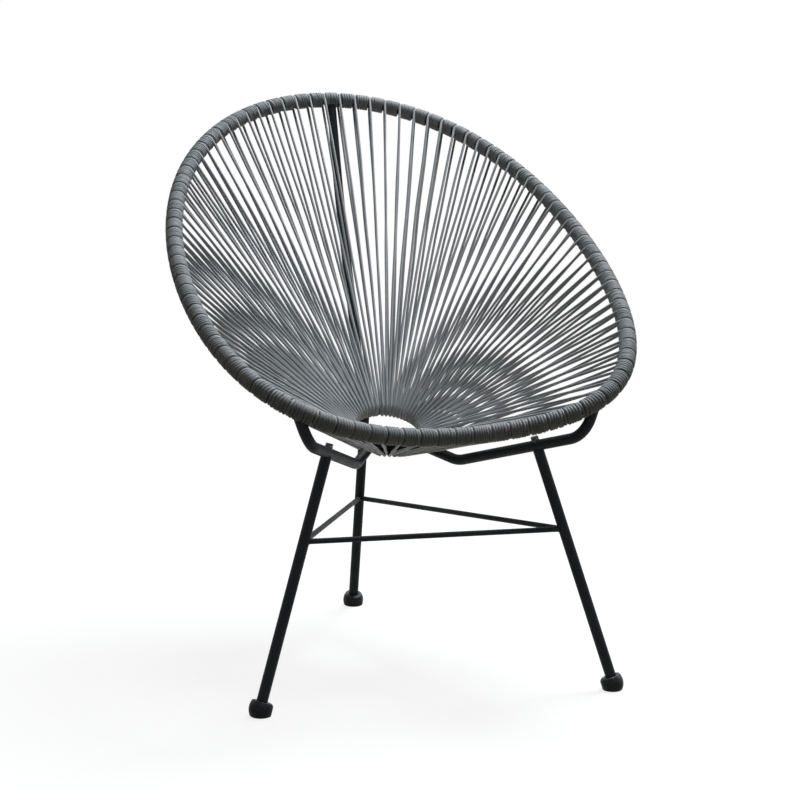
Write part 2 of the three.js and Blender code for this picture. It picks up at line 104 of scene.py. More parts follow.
@contextmanager
def editing(obj: bpy.types.Object) -> Iterator[bpy.types.Object]:
    """Opens an object in edit mode with nothing else selected, and closes it again.

    Args:
        obj: the mesh object to edit.

    Returns:
        The object, while it is in edit mode.
    """
    select_only(obj)
    bpy.ops.object.mode_set(mode="EDIT")
    bpy.ops.mesh.select_all(action="SELECT")
    yield obj
    bpy.ops.object.mode_set(mode="OBJECT")


def freeze(obj: bpy.types.Object) -> None:
    """Moves an object's place, turn and size into its mesh."""
    select_only(obj)
    bpy.ops.object.transform_apply(location=True, rotation=True, scale=True)


def place(obj: bpy.types.Object, matrix: Matrix) -> None:
    """Puts a piece modelled at the origin where it belongs, with its place in its mesh."""
    obj.matrix_world = matrix
    freeze(obj)


def apply_modifier(obj: bpy.types.Object, kind: str, **settings: object) -> None:
    """Adds a modifier with its settings and applies it.

    Args:
        obj: the object to change.
        kind: the modifier's type.
        settings: values for the modifier.
    """
    modifier = obj.modifiers.new(kind.lower(), kind)
    for name, value in settings.items():
        setattr(modifier, name, value)
    select_only(obj)
    bpy.ops.object.modifier_apply(modifier=modifier.name)


def combine(
    obj: bpy.types.Object, carve: Carve, tool: bpy.types.Object, keep_tool: bool = False
) -> None:
    """Cuts, joins or trims a piece with another solid.

    Args:
        obj: the piece.
        carve: what the other solid does to it.
        tool: the other solid.
        keep_tool: whether the other solid is a piece itself, and stays.
    """
    apply_modifier(obj, "BOOLEAN", operation=carve.value, solver="EXACT", object=tool)
    if not keep_tool:
        bpy.data.objects.remove(tool, do_unlink=True)


def smooth(obj: bpy.types.Object, degrees: float = 40.0) -> None:
    """Shades a mesh smooth, except across edges sharper than an angle."""
    select_only(obj)
    bpy.ops.object.shade_smooth_by_angle(angle=math.radians(degrees))


def face_outwards(obj: bpy.types.Object) -> None:
    """Merges a mesh's doubles and turns all its faces outwards.

    Args:
        obj: the closed mesh.
    """
    with editing(obj):
        bpy.ops.mesh.remove_doubles(threshold=MERGE_DISTANCE)
        bpy.ops.mesh.normals_make_consistent(inside=False)


def finish_piece(
    obj: bpy.types.Object,
    name: str,
    material: bpy.types.Material,
    nodes: Sequence[str] = (),
) -> bpy.types.Object:
    """Names a finished piece, dresses it and ties it to the frame.

    Args:
        obj: the finished mesh.
        name: the piece's name.
        material: its material.
        nodes: the CAD nodes that it stands for.

    Returns:
        The same object.
    """
    obj.name = name
    obj.data.name = name
    obj.data.materials.clear()
    obj.data.materials.append(material)
    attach(obj, ROOT)
    if nodes:
        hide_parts(*nodes)
    log.info("%s: %d faces", name, len(obj.data.polygons))
    return obj


def cord_mesh(
    name: str,
    paths: Sequence[Sequence[Vector]],
    radius: float,
    section: int = 2,
    closed: bool = False,
    swell: Callable[[int], float] | None = None,
) -> bpy.types.Object:
    """Draws round cords along paths as a curve and turns it into a mesh.

    Args:
        name: the object's name.
        paths: the points of each cord's centre line.
        radius: the cord's radius.
        section: the fineness of the cord's round section.
        closed: whether each path joins its end to its start.
        swell: the cord's relative thickness at each point.

    Returns:
        The cords as one mesh object.
    """
    curve = bpy.data.curves.new(name, "CURVE")
    curve.dimensions = "3D"
    curve.bevel_depth = radius
    curve.bevel_resolution = section
    curve.use_fill_caps = True
    for path in paths:
        spline = curve.splines.new("POLY")
        spline.points.add(len(path) - 1)
        for index, point in enumerate(path):
            spline.points[index].co = (*point, 1.0)
            if swell:
                spline.points[index].radius = swell(index)
        spline.use_cyclic_u = closed
        spline.use_smooth = True
    obj = bpy.data.objects.new(name, curve)
    bpy.context.collection.objects.link(obj)
    select_only(obj)
    bpy.ops.object.convert(target="MESH")
    return bpy.context.object


def turned(name: str, profile: Sequence[tuple[float, float]], sides: int) -> bpy.types.Object:
    """Raises a round solid about Z from a disc, by extruding and resizing its top.

    Args:
        name: the object's name.
        profile: radii and heights, from the lowest disc to the highest.
        sides: the number of flats round it.

    Returns:
        The closed solid.
    """
    radius, height = profile[0]
    bpy.ops.object.select_all(action="DESELECT")
    bpy.ops.mesh.primitive_circle_add(
        vertices=sides, radius=radius, fill_type="NGON", location=(0, 0, height)
    )
    obj = bpy.context.object
    obj.name = name
    freeze(obj)
    with editing(obj):
        for (before, low), (after, high) in zip(profile, profile[1:]):
            bpy.ops.mesh.extrude_region_move(TRANSFORM_OT_translate={"value": (0, 0, high - low)})
            share = after / before
            bpy.ops.transform.resize(value=(share, share, 1), center_override=(0, 0, high))
    face_outwards(obj)
    return obj


def square_to(direction: Vector, axis: Vector) -> Vector:
    """The part of a direction that is square to a unit axis, as a unit vector."""
    return (direction - axis * direction.dot(axis)).normalized()


def upright_place(origin: Vector, direction: Vector) -> Matrix:
    """The place of a piece modelled along +Z, moved to an origin and turned along a direction."""
    turn = direction.to_track_quat("Z", "Y").to_matrix().to_4x4()
    return Matrix.Translation(origin) @ turn


# Materials

Source = float | tuple[float, ...] | bpy.types.NodeSocket

PATCH_DETAIL = 5.0
PATCH_SPREAD = (0.35, 0.65)
# The coat on what faces up: dust on most finishes, a painted highlight on the rubber feet.
DUST_AND_SHEEN_DETAIL = 8.0
DUST_AND_SHEEN_SPREAD = (0.3, 0.7)
UPWARD_DUST_AND_SHEEN_SLOPES = (0.1, 1.0)
GRAIN_DETAIL = 3.0
SWELL_DETAIL = 1.0
SWELL_SCALE_SHARE = 0.12
SWELL_HEIGHT_SHARE = 0.6


class NodeSheet:
    """Adds and links shader nodes in one node tree, laid out in rows."""

    per_row = 8
    step_across = 220
    step_down = 260
    colour_mix_inputs = (0, 6, 7)
    colour_mix_output = 2

    def __init__(self, tree: bpy.types.NodeTree) -> None:
        """Starts on an empty tree."""
        self.tree = tree
        tree.nodes.clear()

    def add(self, kind: str, label: str = "", **settings: object) -> bpy.types.Node:
        """Adds a node and sets its own properties.

        Args:
            kind: the node's type name.
            label: the node's label.
            settings: properties of the node.

        Returns:
            The new node.
        """
        node = self.tree.nodes.new(kind)
        node.label = label
        row, column = divmod(len(self.tree.nodes), self.per_row)
        node.location = (self.step_across * column, -self.step_down * row)
        for name, value in settings.items():
            setattr(node, name, value)
        return node

    def link(self, source: bpy.types.NodeSocket, target: bpy.types.NodeSocket) -> None:
        """Links an output to an input."""
        self.tree.links.new(source, target)

    def feed(self, source: Source, target: bpy.types.NodeSocket) -> None:
        """Gives an input a socket's value or one of its own.

        Args:
            source: a socket to link, or the value to set.
            target: the input.
        """
        if isinstance(source, bpy.types.NodeSocket):
            self.link(source, target)
        else:
            target.default_value = source

    def calculate(self, operation: str, *values: Source) -> bpy.types.NodeSocket:
        """Adds a calculation. An addition is held between 0 and 1.

        Args:
            operation: the kind of calculation.
            values: what goes into it.

        Returns:
            The result.
        """
        node = self.add("ShaderNodeMath", operation=operation, use_clamp=operation == "ADD")
        for value, target in zip(values, node.inputs):
            self.feed(value, target)
        return node.outputs[0]

    def mix_colours(
        self, label: str, share: bpy.types.NodeSocket, first: Source, second: Source
    ) -> bpy.types.NodeSocket:
        """Mixes two colours.

        Args:
            label: the node's label.
            share: the share of the second colour.
            first: the first colour.
            second: the second colour.

        Returns:
            The mixed colour.
        """
        node = self.add("ShaderNodeMix", label, data_type="RGBA")
        for index, source in zip(self.colour_mix_inputs, (share, first, second)):
            self.feed(source, node.inputs[index])
        return node.outputs[self.colour_mix_output]

    def join_shaders(
        self, first: bpy.types.Node, second: bpy.types.Node, share: bpy.types.NodeSocket | None = None
    ) -> bpy.types.Node:
        """Mixes two shaders by a share, or adds them.

        Args:
            first: the first shader.
            second: the second shader.
            share: the share of the second shader, or nothing to add the two.

        Returns:
            The node that joins them.
        """
        node = self.add("ShaderNodeAddShader" if share is None else "ShaderNodeMixShader")
        sources = [first.outputs[0], second.outputs[0]]
        for source, target in zip(sources if share is None else [share, *sources], node.inputs):
            self.link(source, target)
        return node

    def noise(
        self, vector: bpy.types.NodeSocket, scale: Source, detail: float
    ) -> bpy.types.NodeSocket:
        """Adds a noise texture.

        Args:
            vector: the place that it reads.
            scale: its scale, as a number or a socket.
            detail: its detail.

        Returns:
            The noise's value.
        """
        node = self.add("ShaderNodeTexNoise")
        node.inputs["Detail"].default_value = detail
        self.link(vector, node.inputs["Vector"])
        self.feed(scale, node.inputs["Scale"])
        return node.outputs["Fac"]

    def seen_rays(self) -> bpy.types.NodeSocket:
        """Adds what tells a ray that sees, mirrors or looks through from one that only lights.

        Returns:
            1 for camera, glossy and transmission rays, or else 0.
        """
        path = self.add("ShaderNodeLightPath").outputs
        mirrored = self.calculate("ADD", path["Is Glossy Ray"], path["Is Transmission Ray"])
        return self.calculate("ADD", path["Is Camera Ray"], mirrored)

    def spread(
        self,
        value: bpy.types.NodeSocket,
        reach: tuple[float, float],
        results: tuple[float, float] = (0.0, 1.0),
    ) -> bpy.types.NodeSocket:
        """Maps a range of values to another, held at its ends.

        Args:
            value: the value to map.
            reach: the values that give the first and the last result.
            results: the first and the last result.

        Returns:
            The mapped value.
        """
        node = self.add("ShaderNodeMapRange", clamp=True)
        for name, number in zip(("From Min", "From Max", "To Min", "To Max"), (*reach, *results)):
            node.inputs[name].default_value = number
        self.link(value, node.inputs["Value"])
        return node.outputs["Result"]


def new_group(name: str, inputs: dict[str, str], outputs: dict[str, str]) -> bpy.types.NodeTree:
    """Makes an empty shader group with named sockets.

    Args:
        name: the group's name.
        inputs: each input's name and socket type.
        outputs: each output's name and socket type.

    Returns:
        The new group.
    """
    tree = bpy.data.node_groups.new(name, "ShaderNodeTree")
    for label, kind in inputs.items():
        tree.interface.new_socket(name=label, in_out="INPUT", socket_type=kind)
    for label, kind in outputs.items():
        tree.interface.new_socket(name=label, in_out="OUTPUT", socket_type=kind)
    return tree


def tone_drift_group() -> bpy.types.NodeTree:
    """Builds the group that drifts a colour between two tones, in large and small patches.

    Returns:
        A group with Place, Scale, Tone A and Tone B in, and Colour out.
    """
    tree = new_group(
        "tone_drift",
        {
            "Place": "NodeSocketVector",
            "Scale": "NodeSocketFloat",
            "Tone A": "NodeSocketColor",
            "Tone B": "NodeSocketColor",
        },
        {"Colour": "NodeSocketColor"},
    )
    sheet = NodeSheet(tree)
    enter = sheet.add("NodeGroupInput")
    leave = sheet.add("NodeGroupOutput")
    patches = sheet.noise(enter.outputs["Place"], enter.outputs["Scale"], PATCH_DETAIL)
    share = sheet.spread(patches, PATCH_SPREAD)
    tones = enter.outputs["Tone A"], enter.outputs["Tone B"]
    sheet.link(sheet.mix_colours("tone", share, *tones), leave.inputs["Colour"])
    return tree


def dust_and_sheen_group() -> bpy.types.NodeTree:
    """Builds the group that gives where a coat lies on what faces up, broken by noise: fine dust on
    most finishes, and a painted highlight on the rubber feet.

    Returns:
        A group with Place, Scale and Amount in, and Mask out.
    """
    tree = new_group(
        "dust_and_sheen",
        {"Place": "NodeSocketVector", "Scale": "NodeSocketFloat", "Amount": "NodeSocketFloat"},
        {"Mask": "NodeSocketFloat"},
    )
    sheet = NodeSheet(tree)
    enter = sheet.add("NodeGroupInput")
    leave = sheet.add("NodeGroupOutput")
    shape = sheet.add("ShaderNodeNewGeometry")
    split = sheet.add("ShaderNodeSeparateXYZ")
    sheet.link(shape.outputs["Normal"], split.inputs[0])
    upward = sheet.spread(split.outputs["Z"], UPWARD_DUST_AND_SHEEN_SLOPES)
    specks = sheet.noise(enter.outputs["Place"], enter.outputs["Scale"], DUST_AND_SHEEN_DETAIL)
    upward_patches = sheet.calculate("MULTIPLY", upward, sheet.spread(specks, DUST_AND_SHEEN_SPREAD))
    mask = sheet.calculate("MULTIPLY", upward_patches, enter.outputs["Amount"])
    sheet.link(mask, leave.inputs["Mask"])
    return tree


def fine_relief_group() -> bpy.types.NodeTree:
    """Builds the group that gives a fine relief: a grain with slow swells under it.

    Returns:
        A group with Place and Scale in, and Height out.
    """
    tree = new_group(
        "fine_relief",
        {"Place": "NodeSocketVector", "Scale": "NodeSocketFloat"},
        {"Height": "NodeSocketFloat"},
    )
    sheet = NodeSheet(tree)
    enter = sheet.add("NodeGroupInput")
    leave = sheet.add("NodeGroupOutput")
    grain = sheet.noise(enter.outputs["Place"], enter.outputs["Scale"], GRAIN_DETAIL)
    slower = sheet.calculate("MULTIPLY", enter.outputs["Scale"], SWELL_SCALE_SHARE)
    swells = sheet.noise(enter.outputs["Place"], slower, SWELL_DETAIL)
    height = sheet.calculate("MULTIPLY_ADD", swells, SWELL_HEIGHT_SHARE, grain)
    sheet.link(height, leave.inputs["Height"])
    return tree


@dataclass(frozen=True)
class SharedEffects:
    """The node groups that more than one finish uses."""

    tone_drift: bpy.types.NodeTree = field(default_factory=tone_drift_group)
    dust_and_sheen: bpy.types.NodeTree = field(default_factory=dust_and_sheen_group)
    fine_relief: bpy.types.NodeTree = field(default_factory=fine_relief_group)


@dataclass(frozen=True)
class Finish:
    """A surface finish: two tones, dust on what faces up (a painted highlight on the rubber feet),
    gloss and relief.
    """

    name: str
    tone_a: tuple[float, float, float]
    tone_b: tuple[float, float, float]
    dust_and_sheen_tone: tuple[float, float, float]
    tone_scale: float
    dust_and_sheen_scale: float
    dust_and_sheen_amount: float
    roughness: tuple[float, float]
    relief_scale: float
    relief_depth: float
    metallic: float = 0.0
    sheen: float = 0.0
    specular: float = 0.5
    gloss_spread: tuple[float, float] = (0.3, 0.7)
    gloss_scale_share: float = 0.5
    gloss_detail: float = 4.0

    def material(self, effects: SharedEffects) -> bpy.types.Material:
        """Builds the material.

        Args:
            effects: the shared node groups.

        Returns:
            The new material.
        """
        material = bpy.data.materials.new(self.name)
        material.use_nodes = True
        sheet = NodeSheet(material.node_tree)
        spot = sheet.add("ShaderNodeTexCoord").outputs["Object"]
        tone = self._group(sheet, effects.tone_drift, spot, self.tone_scale)
        tone.inputs["Tone A"].default_value = (*self.tone_a, 1.0)
        tone.inputs["Tone B"].default_value = (*self.tone_b, 1.0)
        # The mask lays dust on what faces up; on the rubber feet it lays a painted highlight instead.
        dust = self._group(sheet, effects.dust_and_sheen, spot, self.dust_and_sheen_scale)
        dust.inputs["Amount"].default_value = self.dust_and_sheen_amount
        tone_with_dust_and_sheen = sheet.mix_colours(
            "dust over tone", dust.outputs["Mask"], tone.outputs["Colour"], (*self.dust_and_sheen_tone, 1.0)
        )
        worn = sheet.noise(spot, self.dust_and_sheen_scale * self.gloss_scale_share, self.gloss_detail)
        gloss = sheet.spread(worn, self.gloss_spread, self.roughness)
        relief = self._group(sheet, effects.fine_relief, spot, self.relief_scale)
        bump = sheet.add("ShaderNodeBump")
        bump.inputs["Distance"].default_value = self.relief_depth
        bump.inputs["Strength"].default_value = 1.0
        sheet.link(relief.outputs["Height"], bump.inputs["Height"])
        shader = sheet.add("ShaderNodeBsdfPrincipled")
        shader.inputs["Metallic"].default_value = self.metallic
        shader.inputs["Sheen Weight"].default_value = self.sheen
        shader.inputs["Specular IOR Level"].default_value = self.specular
        sheet.link(tone_with_dust_and_sheen, shader.inputs["Base Color"])
        sheet.link(gloss, shader.inputs["Roughness"])
        sheet.link(bump.outputs["Normal"], shader.inputs["Normal"])
        out = sheet.add("ShaderNodeOutputMaterial")
        sheet.link(shader.outputs["BSDF"], out.inputs["Surface"])
        return material

    @staticmethod
    def _group(
        sheet: NodeSheet, tree: bpy.types.NodeTree, spot: bpy.types.NodeSocket, scale: float
    ) -> bpy.types.Node:
        """Adds a shared group that reads a place at a scale.

        Args:
            sheet: the node sheet to add to.
            tree: the shared group.
            spot: the place that it reads.
            scale: the scale of its pattern.

        Returns:
            The group's node.
        """
        node = sheet.add("ShaderNodeGroup", tree.name, node_tree=tree)
        node.inputs["Scale"].default_value = scale
        sheet.link(spot, node.inputs["Place"])
        return node


POWDER_COAT = Finish(
    name="black_powder_coat",
    tone_a=(0.016, 0.018, 0.021),
    tone_b=(0.021, 0.024, 0.028),
    dust_and_sheen_tone=(0.06, 0.06, 0.06),
    tone_scale=14.0,
    dust_and_sheen_scale=55.0,
    dust_and_sheen_amount=0.08,
    roughness=(0.48, 0.62),
    relief_scale=1400.0,
    relief_depth=0.00004,
    specular=0.15,
)
BLACK_ZINC = Finish(
    name="black_zinc",
    tone_a=(0.028, 0.030, 0.035),
    tone_b=(0.050, 0.052, 0.058),
    dust_and_sheen_tone=(0.12, 0.11, 0.10),
    tone_scale=160.0,
    dust_and_sheen_scale=300.0,
    dust_and_sheen_amount=0.15,
    roughness=(0.3, 0.5),
    relief_scale=2600.0,
    relief_depth=0.00002,
    metallic=0.8,
)
# On the rubber feet the pale bluish dust tone, laid where the surface faces up, is a painted
# highlight: it stands for sky light on the shoulder of the foot, not dust.
FOOT_RUBBER = Finish(
    name="foot_rubber",
    tone_a=(0.010, 0.012, 0.014),
    tone_b=(0.016, 0.018, 0.020),
    dust_and_sheen_tone=(0.28, 0.31, 0.36),
    tone_scale=60.0,
    dust_and_sheen_scale=160.0,
    dust_and_sheen_amount=0.9,
    roughness=(0.45, 0.6),
    relief_scale=1800.0,
    relief_depth=0.00006,
    sheen=0.05,
    specular=0.12,
)
LACING_VINYL = Finish(
    name="lacing_vinyl",
    tone_a=(0.41, 0.43, 0.45),
    tone_b=(0.52, 0.54, 0.56),
    dust_and_sheen_tone=(0.56, 0.55, 0.53),
    tone_scale=22.0,
    dust_and_sheen_scale=140.0,
    dust_and_sheen_amount=0.15,
    roughness=(0.42, 0.56),
    relief_scale=900.0,
    relief_depth=0.00006,
    specular=0.14,
)
BINDING_VINYL = Finish(
    name="binding_vinyl",
    tone_a=(0.32, 0.34, 0.36),
    tone_b=(0.41, 0.43, 0.45),
    dust_and_sheen_tone=(0.46, 0.45, 0.43),
    tone_scale=30.0,
    dust_and_sheen_scale=140.0,
    dust_and_sheen_amount=0.2,
    roughness=(0.42, 0.54),
    relief_scale=900.0,
    relief_depth=0.00006,
    specular=0.12,
)


@dataclass(frozen=True)
class Wardrobe:
    """Every material of the chair, built once."""

    steel: bpy.types.Material
    zinc: bpy.types.Material
    rubber: bpy.types.Material
    lacing: bpy.types.Material
    binding: bpy.types.Material

    @classmethod
    def build(cls) -> "Wardrobe":
        """Builds the materials from their finishes.

        Returns:
            The chair's materials.
        """
        effects = SharedEffects()
        finishes = (POWDER_COAT, BLACK_ZINC, FOOT_RUBBER, LACING_VINYL, BINDING_VINYL)
        return cls(*(finish.material(effects) for finish in finishes))


# The lines that the whole chair follows


@dataclass(frozen=True)
class RimPath:
    """The rim tube's closed centre line, once round from the top centre by the right side."""

    mid_depth: float
    half_width: float = 0.329
    half_depth: float = 0.390
    half_rise: float = 0.240
    mid_height: float = 0.589
    width_shares: tuple[float, ...] = (1.0, 0.116, 0.014)
    depth_shares: tuple[float, ...] = (1.0, 0.271, -0.058)
    rise_shares: tuple[float, ...] = (1.0, 0.165, 0.011, -0.01)
    tube_radius: float = 0.008
    stations: int = 2400
    tangent_share: float = 1e-4

    @staticmethod
    def _waves(wave: Callable[[float], float], shares: Sequence[float], angle: float) -> float:
        """Sums waves of an angle, each a share of the whole."""
        return sum(share * wave((index + 1) * angle) for index, share in enumerate(shares))

    def spot(self, turn: float) -> Vector:
        """The point at a share of the curve's own parameter.

        Args:
            turn: the share, from 0 to 1.

        Returns:
            The point.
        """
        angle = 2 * math.pi * turn
        return Vector((
            self.half_width * self._waves(math.sin, self.width_shares, angle),
            self.mid_depth + self.half_depth * self._waves(math.cos, self.depth_shares, angle),
            self.mid_height + self.half_rise * self._waves(math.cos, self.rise_shares, angle),
        ))

    @cached_property
    def _lengths(self) -> list[float]:
        """Measures along the curve.

        Returns:
            The length up to each station.
        """
        lengths = [0.0]
        last = self.spot(0.0)
        for station in range(1, self.stations + 1):
            point = self.spot(station / self.stations)
            lengths.append(lengths[-1] + (point - last).length)
            last = point
        return lengths

    @property
    def length(self) -> float:
        """The length once round."""
        return self._lengths[-1]

    def at(self, share: float) -> Vector:
        """The point at a share of the length.

        Args:
            share: the share, which may run past either end.

        Returns:
            The point.
        """
        wanted = (share % 1.0) * self.length
        station = min(bisect.bisect_right(self._lengths, wanted) - 1, self.stations - 1)
        low, high = self._lengths[station], self._lengths[station + 1]
        return self.spot((station + (wanted - low) / (high - low)) / self.stations)

    def along(self, share: float) -> Vector:
        """The unit direction of travel at a share of the length."""
        ahead, behind = self.at(share + self.tangent_share), self.at(share - self.tangent_share)
        return (ahead - behind).normalized()


@dataclass(frozen=True)
class HubPath:
    """The hub ring's centre line, from its back by the right side."""

    centre: Vector
    radius: float = 0.062
    tube_radius: float = 0.008
    tilt: float = math.radians(22)

    @property
    def back(self) -> Vector:
        """The direction from the centre to the ring's back."""
        return Vector((0.0, math.cos(self.tilt), math.sin(self.tilt)))

    @property
    def up(self) -> Vector:
        """The ring's axis, upwards."""
        return Vector((0.0, -math.sin(self.tilt), math.cos(self.tilt)))

    def at(self, angle: float) -> Vector:
        """The point at an angle."""
        outward = SIDEWAYS * math.sin(angle) + self.back * math.cos(angle)
        return self.centre + self.radius * outward

    def along(self, angle: float) -> Vector:
        """The unit direction of travel at an angle."""
        return (self.at(angle + math.pi / 2) - self.centre).normalized()


@dataclass(frozen=True)
class PressedEnd:
    """The upright flat that a tube's end is pressed to, and the flare that leads to it."""

    thickness: float = 0.0035
    height: float = 0.023
    length: float = 0.026
    flare: float = 0.016


@dataclass(frozen=True)
class TubeRoute:
    """A bent tube's centre line: corners, each rounded by a bend of its own radius."""

    corners: tuple[Vector, ...]
    bends: tuple[float, ...]
    radius: float = 0.008
    pressed: PressedEnd | None = None

    def start_direction(self) -> Vector:
        """The unit direction in which the tube leaves its start."""
        return (self.corners[1] - self.corners[0]).normalized()

    def end_direction(self) -> Vector:
        """The unit direction in which the tube reaches its end."""
        return (self.corners[-1] - self.corners[-2]).normalized()

    def end_section(self) -> tuple[Vector, Vector]:
        """Finds the section at its end.

        Returns:
            The section's two half axes.
        """
        along = self.end_direction()
        if self.pressed is None:
            across = along.orthogonal().normalized()
            return across * self.radius, along.cross(across) * self.radius
        upright = along.cross(SIDEWAYS)
        return SIDEWAYS * self.pressed.thickness / 2, upright * self.pressed.height / 2


@dataclass(frozen=True)
class ChairLines:
    """The lines that the pieces share: rim, hub, supports, feet and the seats of the legs.

    A bracket's heel is its bend under the rim, and its toe the bend before the hub. The spine's
    bow is the long bend behind the back, and its heel the bend at the foot of it.
    """

    rim: RimPath
    hub: HubPath
    loops: int = 94
    side_loops: int = 39
    front_loops: int = 16
    front_closeness: float = 0.96
    bracket_hub_angle: float = math.radians(143.5)
    bracket_rim_shift: float = 0.0045
    heel_inset: float = 0.017
    heel_lead: float = 0.002
    heel_drop: float = 0.0485
    heel_bend: float = 0.040
    toe_setback: float = 0.090
    toe_drop: float = 0.015
    toe_bend: float = 0.060
    seat_reach: float = 0.090
    bow_reach: float = 0.072
    bow_drop: float = 0.170
    bow_bend: float = 0.900
    spine_heel_setback: float = 0.107
    spine_heel_rise: float = 0.002
    spine_heel_bend: float = 0.028
    spine_seat_setback: float = 0.085
    spine_end: PressedEnd = PressedEnd()
    front_foot_half_width: float = 0.266
    front_foot_depth: float = 0.275
    rear_foot_depth: float = 0.2745
    hub_depth: float = 0.050
    rim_depth: float = -0.006
    weld_setback: float = 0.004

    @classmethod
    def from_frame(cls) -> "ChairLines":
        """Sets the lines out from the place of the frame's hub ring.

        Returns:
            The chair's lines.
        """
        low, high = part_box("hub_ring")
        centre = (low + high) / 2
        centre.x = 0.0
        rim = RimPath(mid_depth=centre.y - cls.hub_depth + cls.rim_depth)
        return cls(rim=rim, hub=HubPath(centre=centre))

    def slot(self, loop: float) -> float:
        """Finds where a loop crosses the rim. The front ones stand closer.

        Args:
            loop: the loop's number, from the top centre by the right side.

        Returns:
            The share of the rim's length.
        """
        even = (loop + 0.5) / self.loops
        from_front = even - 0.5
        if abs(from_front) * self.loops < self.front_loops / 2:
            return 0.5 + self.front_closeness * from_front
        return even

    def beside_rim(self, share: float, radius: float, angle: float) -> Vector:
        """Finds a point round the rim's tube.

        Args:
            share: the share of the rim's length.
            radius: the distance from the tube's centre line.
            angle: the angle about it, from the side away from the hub.

        Returns:
            The point.
        """
        centre, along = self.rim.at(share), self.rim.along(share)
        outward = square_to(centre - self.hub.centre, along)
        upward = along.cross(outward)
        return centre + radius * (outward * math.cos(angle) + upward * math.sin(angle))

    def _short_of(self, joint: Vector, neighbour: Vector) -> Vector:
        """A tube's end, a little short of the centre of the tube that it is welded to."""
        return joint + (neighbour - joint).normalized() * self.weld_setback

    def bracket(self, side: Side) -> tuple[TubeRoute, Vector]:
        """Sets out a bracket: down from the rim, then in to the hub in an upright plane.

        Args:
            side: the bracket's side.

        Returns:
            The tube's route and the leg's seat on it.
        """
        turn = self.side_loops / self.loops - self.bracket_rim_shift / self.rim.length
        rim_joint = self.rim.at(turn if side is Side.RIGHT else 1 - turn)
        hub_joint = self.hub.at(side.value * self.bracket_hub_angle)
        heel = rim_joint - Vector((side.value * self.heel_inset, self.heel_lead, self.heel_drop))
        inward = hub_joint - heel
        inward.z = 0.0
        run = inward.length - self.toe_setback
        toe = hub_joint - inward.normalized() * self.toe_setback - Vector((0.0, 0.0, self.toe_drop))
        corners = (self._short_of(rim_joint, heel), heel, toe, self._short_of(hub_joint, toe))
        route = TubeRoute(corners, (self.heel_bend, self.toe_bend))
        return route, heel.lerp(toe, self.seat_reach / run)

    def spine(self) -> tuple[TubeRoute, Vector]:
        """Sets out the spine in the plane x = 0.

        Returns:
            The tube's route and the leg's seat on it.
        """
        rim_joint = self.rim.at(0.0)
        hub_joint = self.hub.at(0.0)
        bow = rim_joint + Vector((0.0, -self.bow_reach, -self.bow_drop))
        heel = hub_joint + Vector((0.0, self.spine_heel_setback, self.spine_heel_rise))
        corners = (self._short_of(rim_joint, bow), bow, heel, self._short_of(hub_joint, heel))
        route = TubeRoute(corners, (self.bow_bend, self.spine_heel_bend), pressed=self.spine_end)
        return route, hub_joint.lerp(heel, self.spine_seat_setback / self.spine_heel_setback)

    def foot(self, side: Side | None) -> Vector:
        """Finds where a leg's axis meets the floor.

        Args:
            side: a front leg's side, or nothing for the rear leg.

        Returns:
            The point.
        """
        middle = self.hub.centre.y - self.hub_depth
        if side is None:
            return Vector((0.0, middle + self.rear_foot_depth, 0.0))
        return Vector((side.value * self.front_foot_half_width, middle - self.front_foot_depth, 0.0))


# Cord work


@dataclass(frozen=True)
class LaceRun:
    """A run of loops between two of the hub's joints."""

    name: str
    first_loop: int
    loops: int
    start: float
    end: float
    over_start: float
    over_end: float
    nodes: tuple[str, ...]

    def under_angle(self, wrap: int) -> float:
        """The angle on the hub ring where a wrap passes under it."""
        return self.start + (self.end - self.start) * wrap / self.loops

    def over_angle(self, wrap: int) -> float:
        """The angle on the hub ring where a wrap comes out on top."""
        last = self.loops - 1
        return self.over_start + (self.over_end - self.over_start) * min(wrap, last) / last


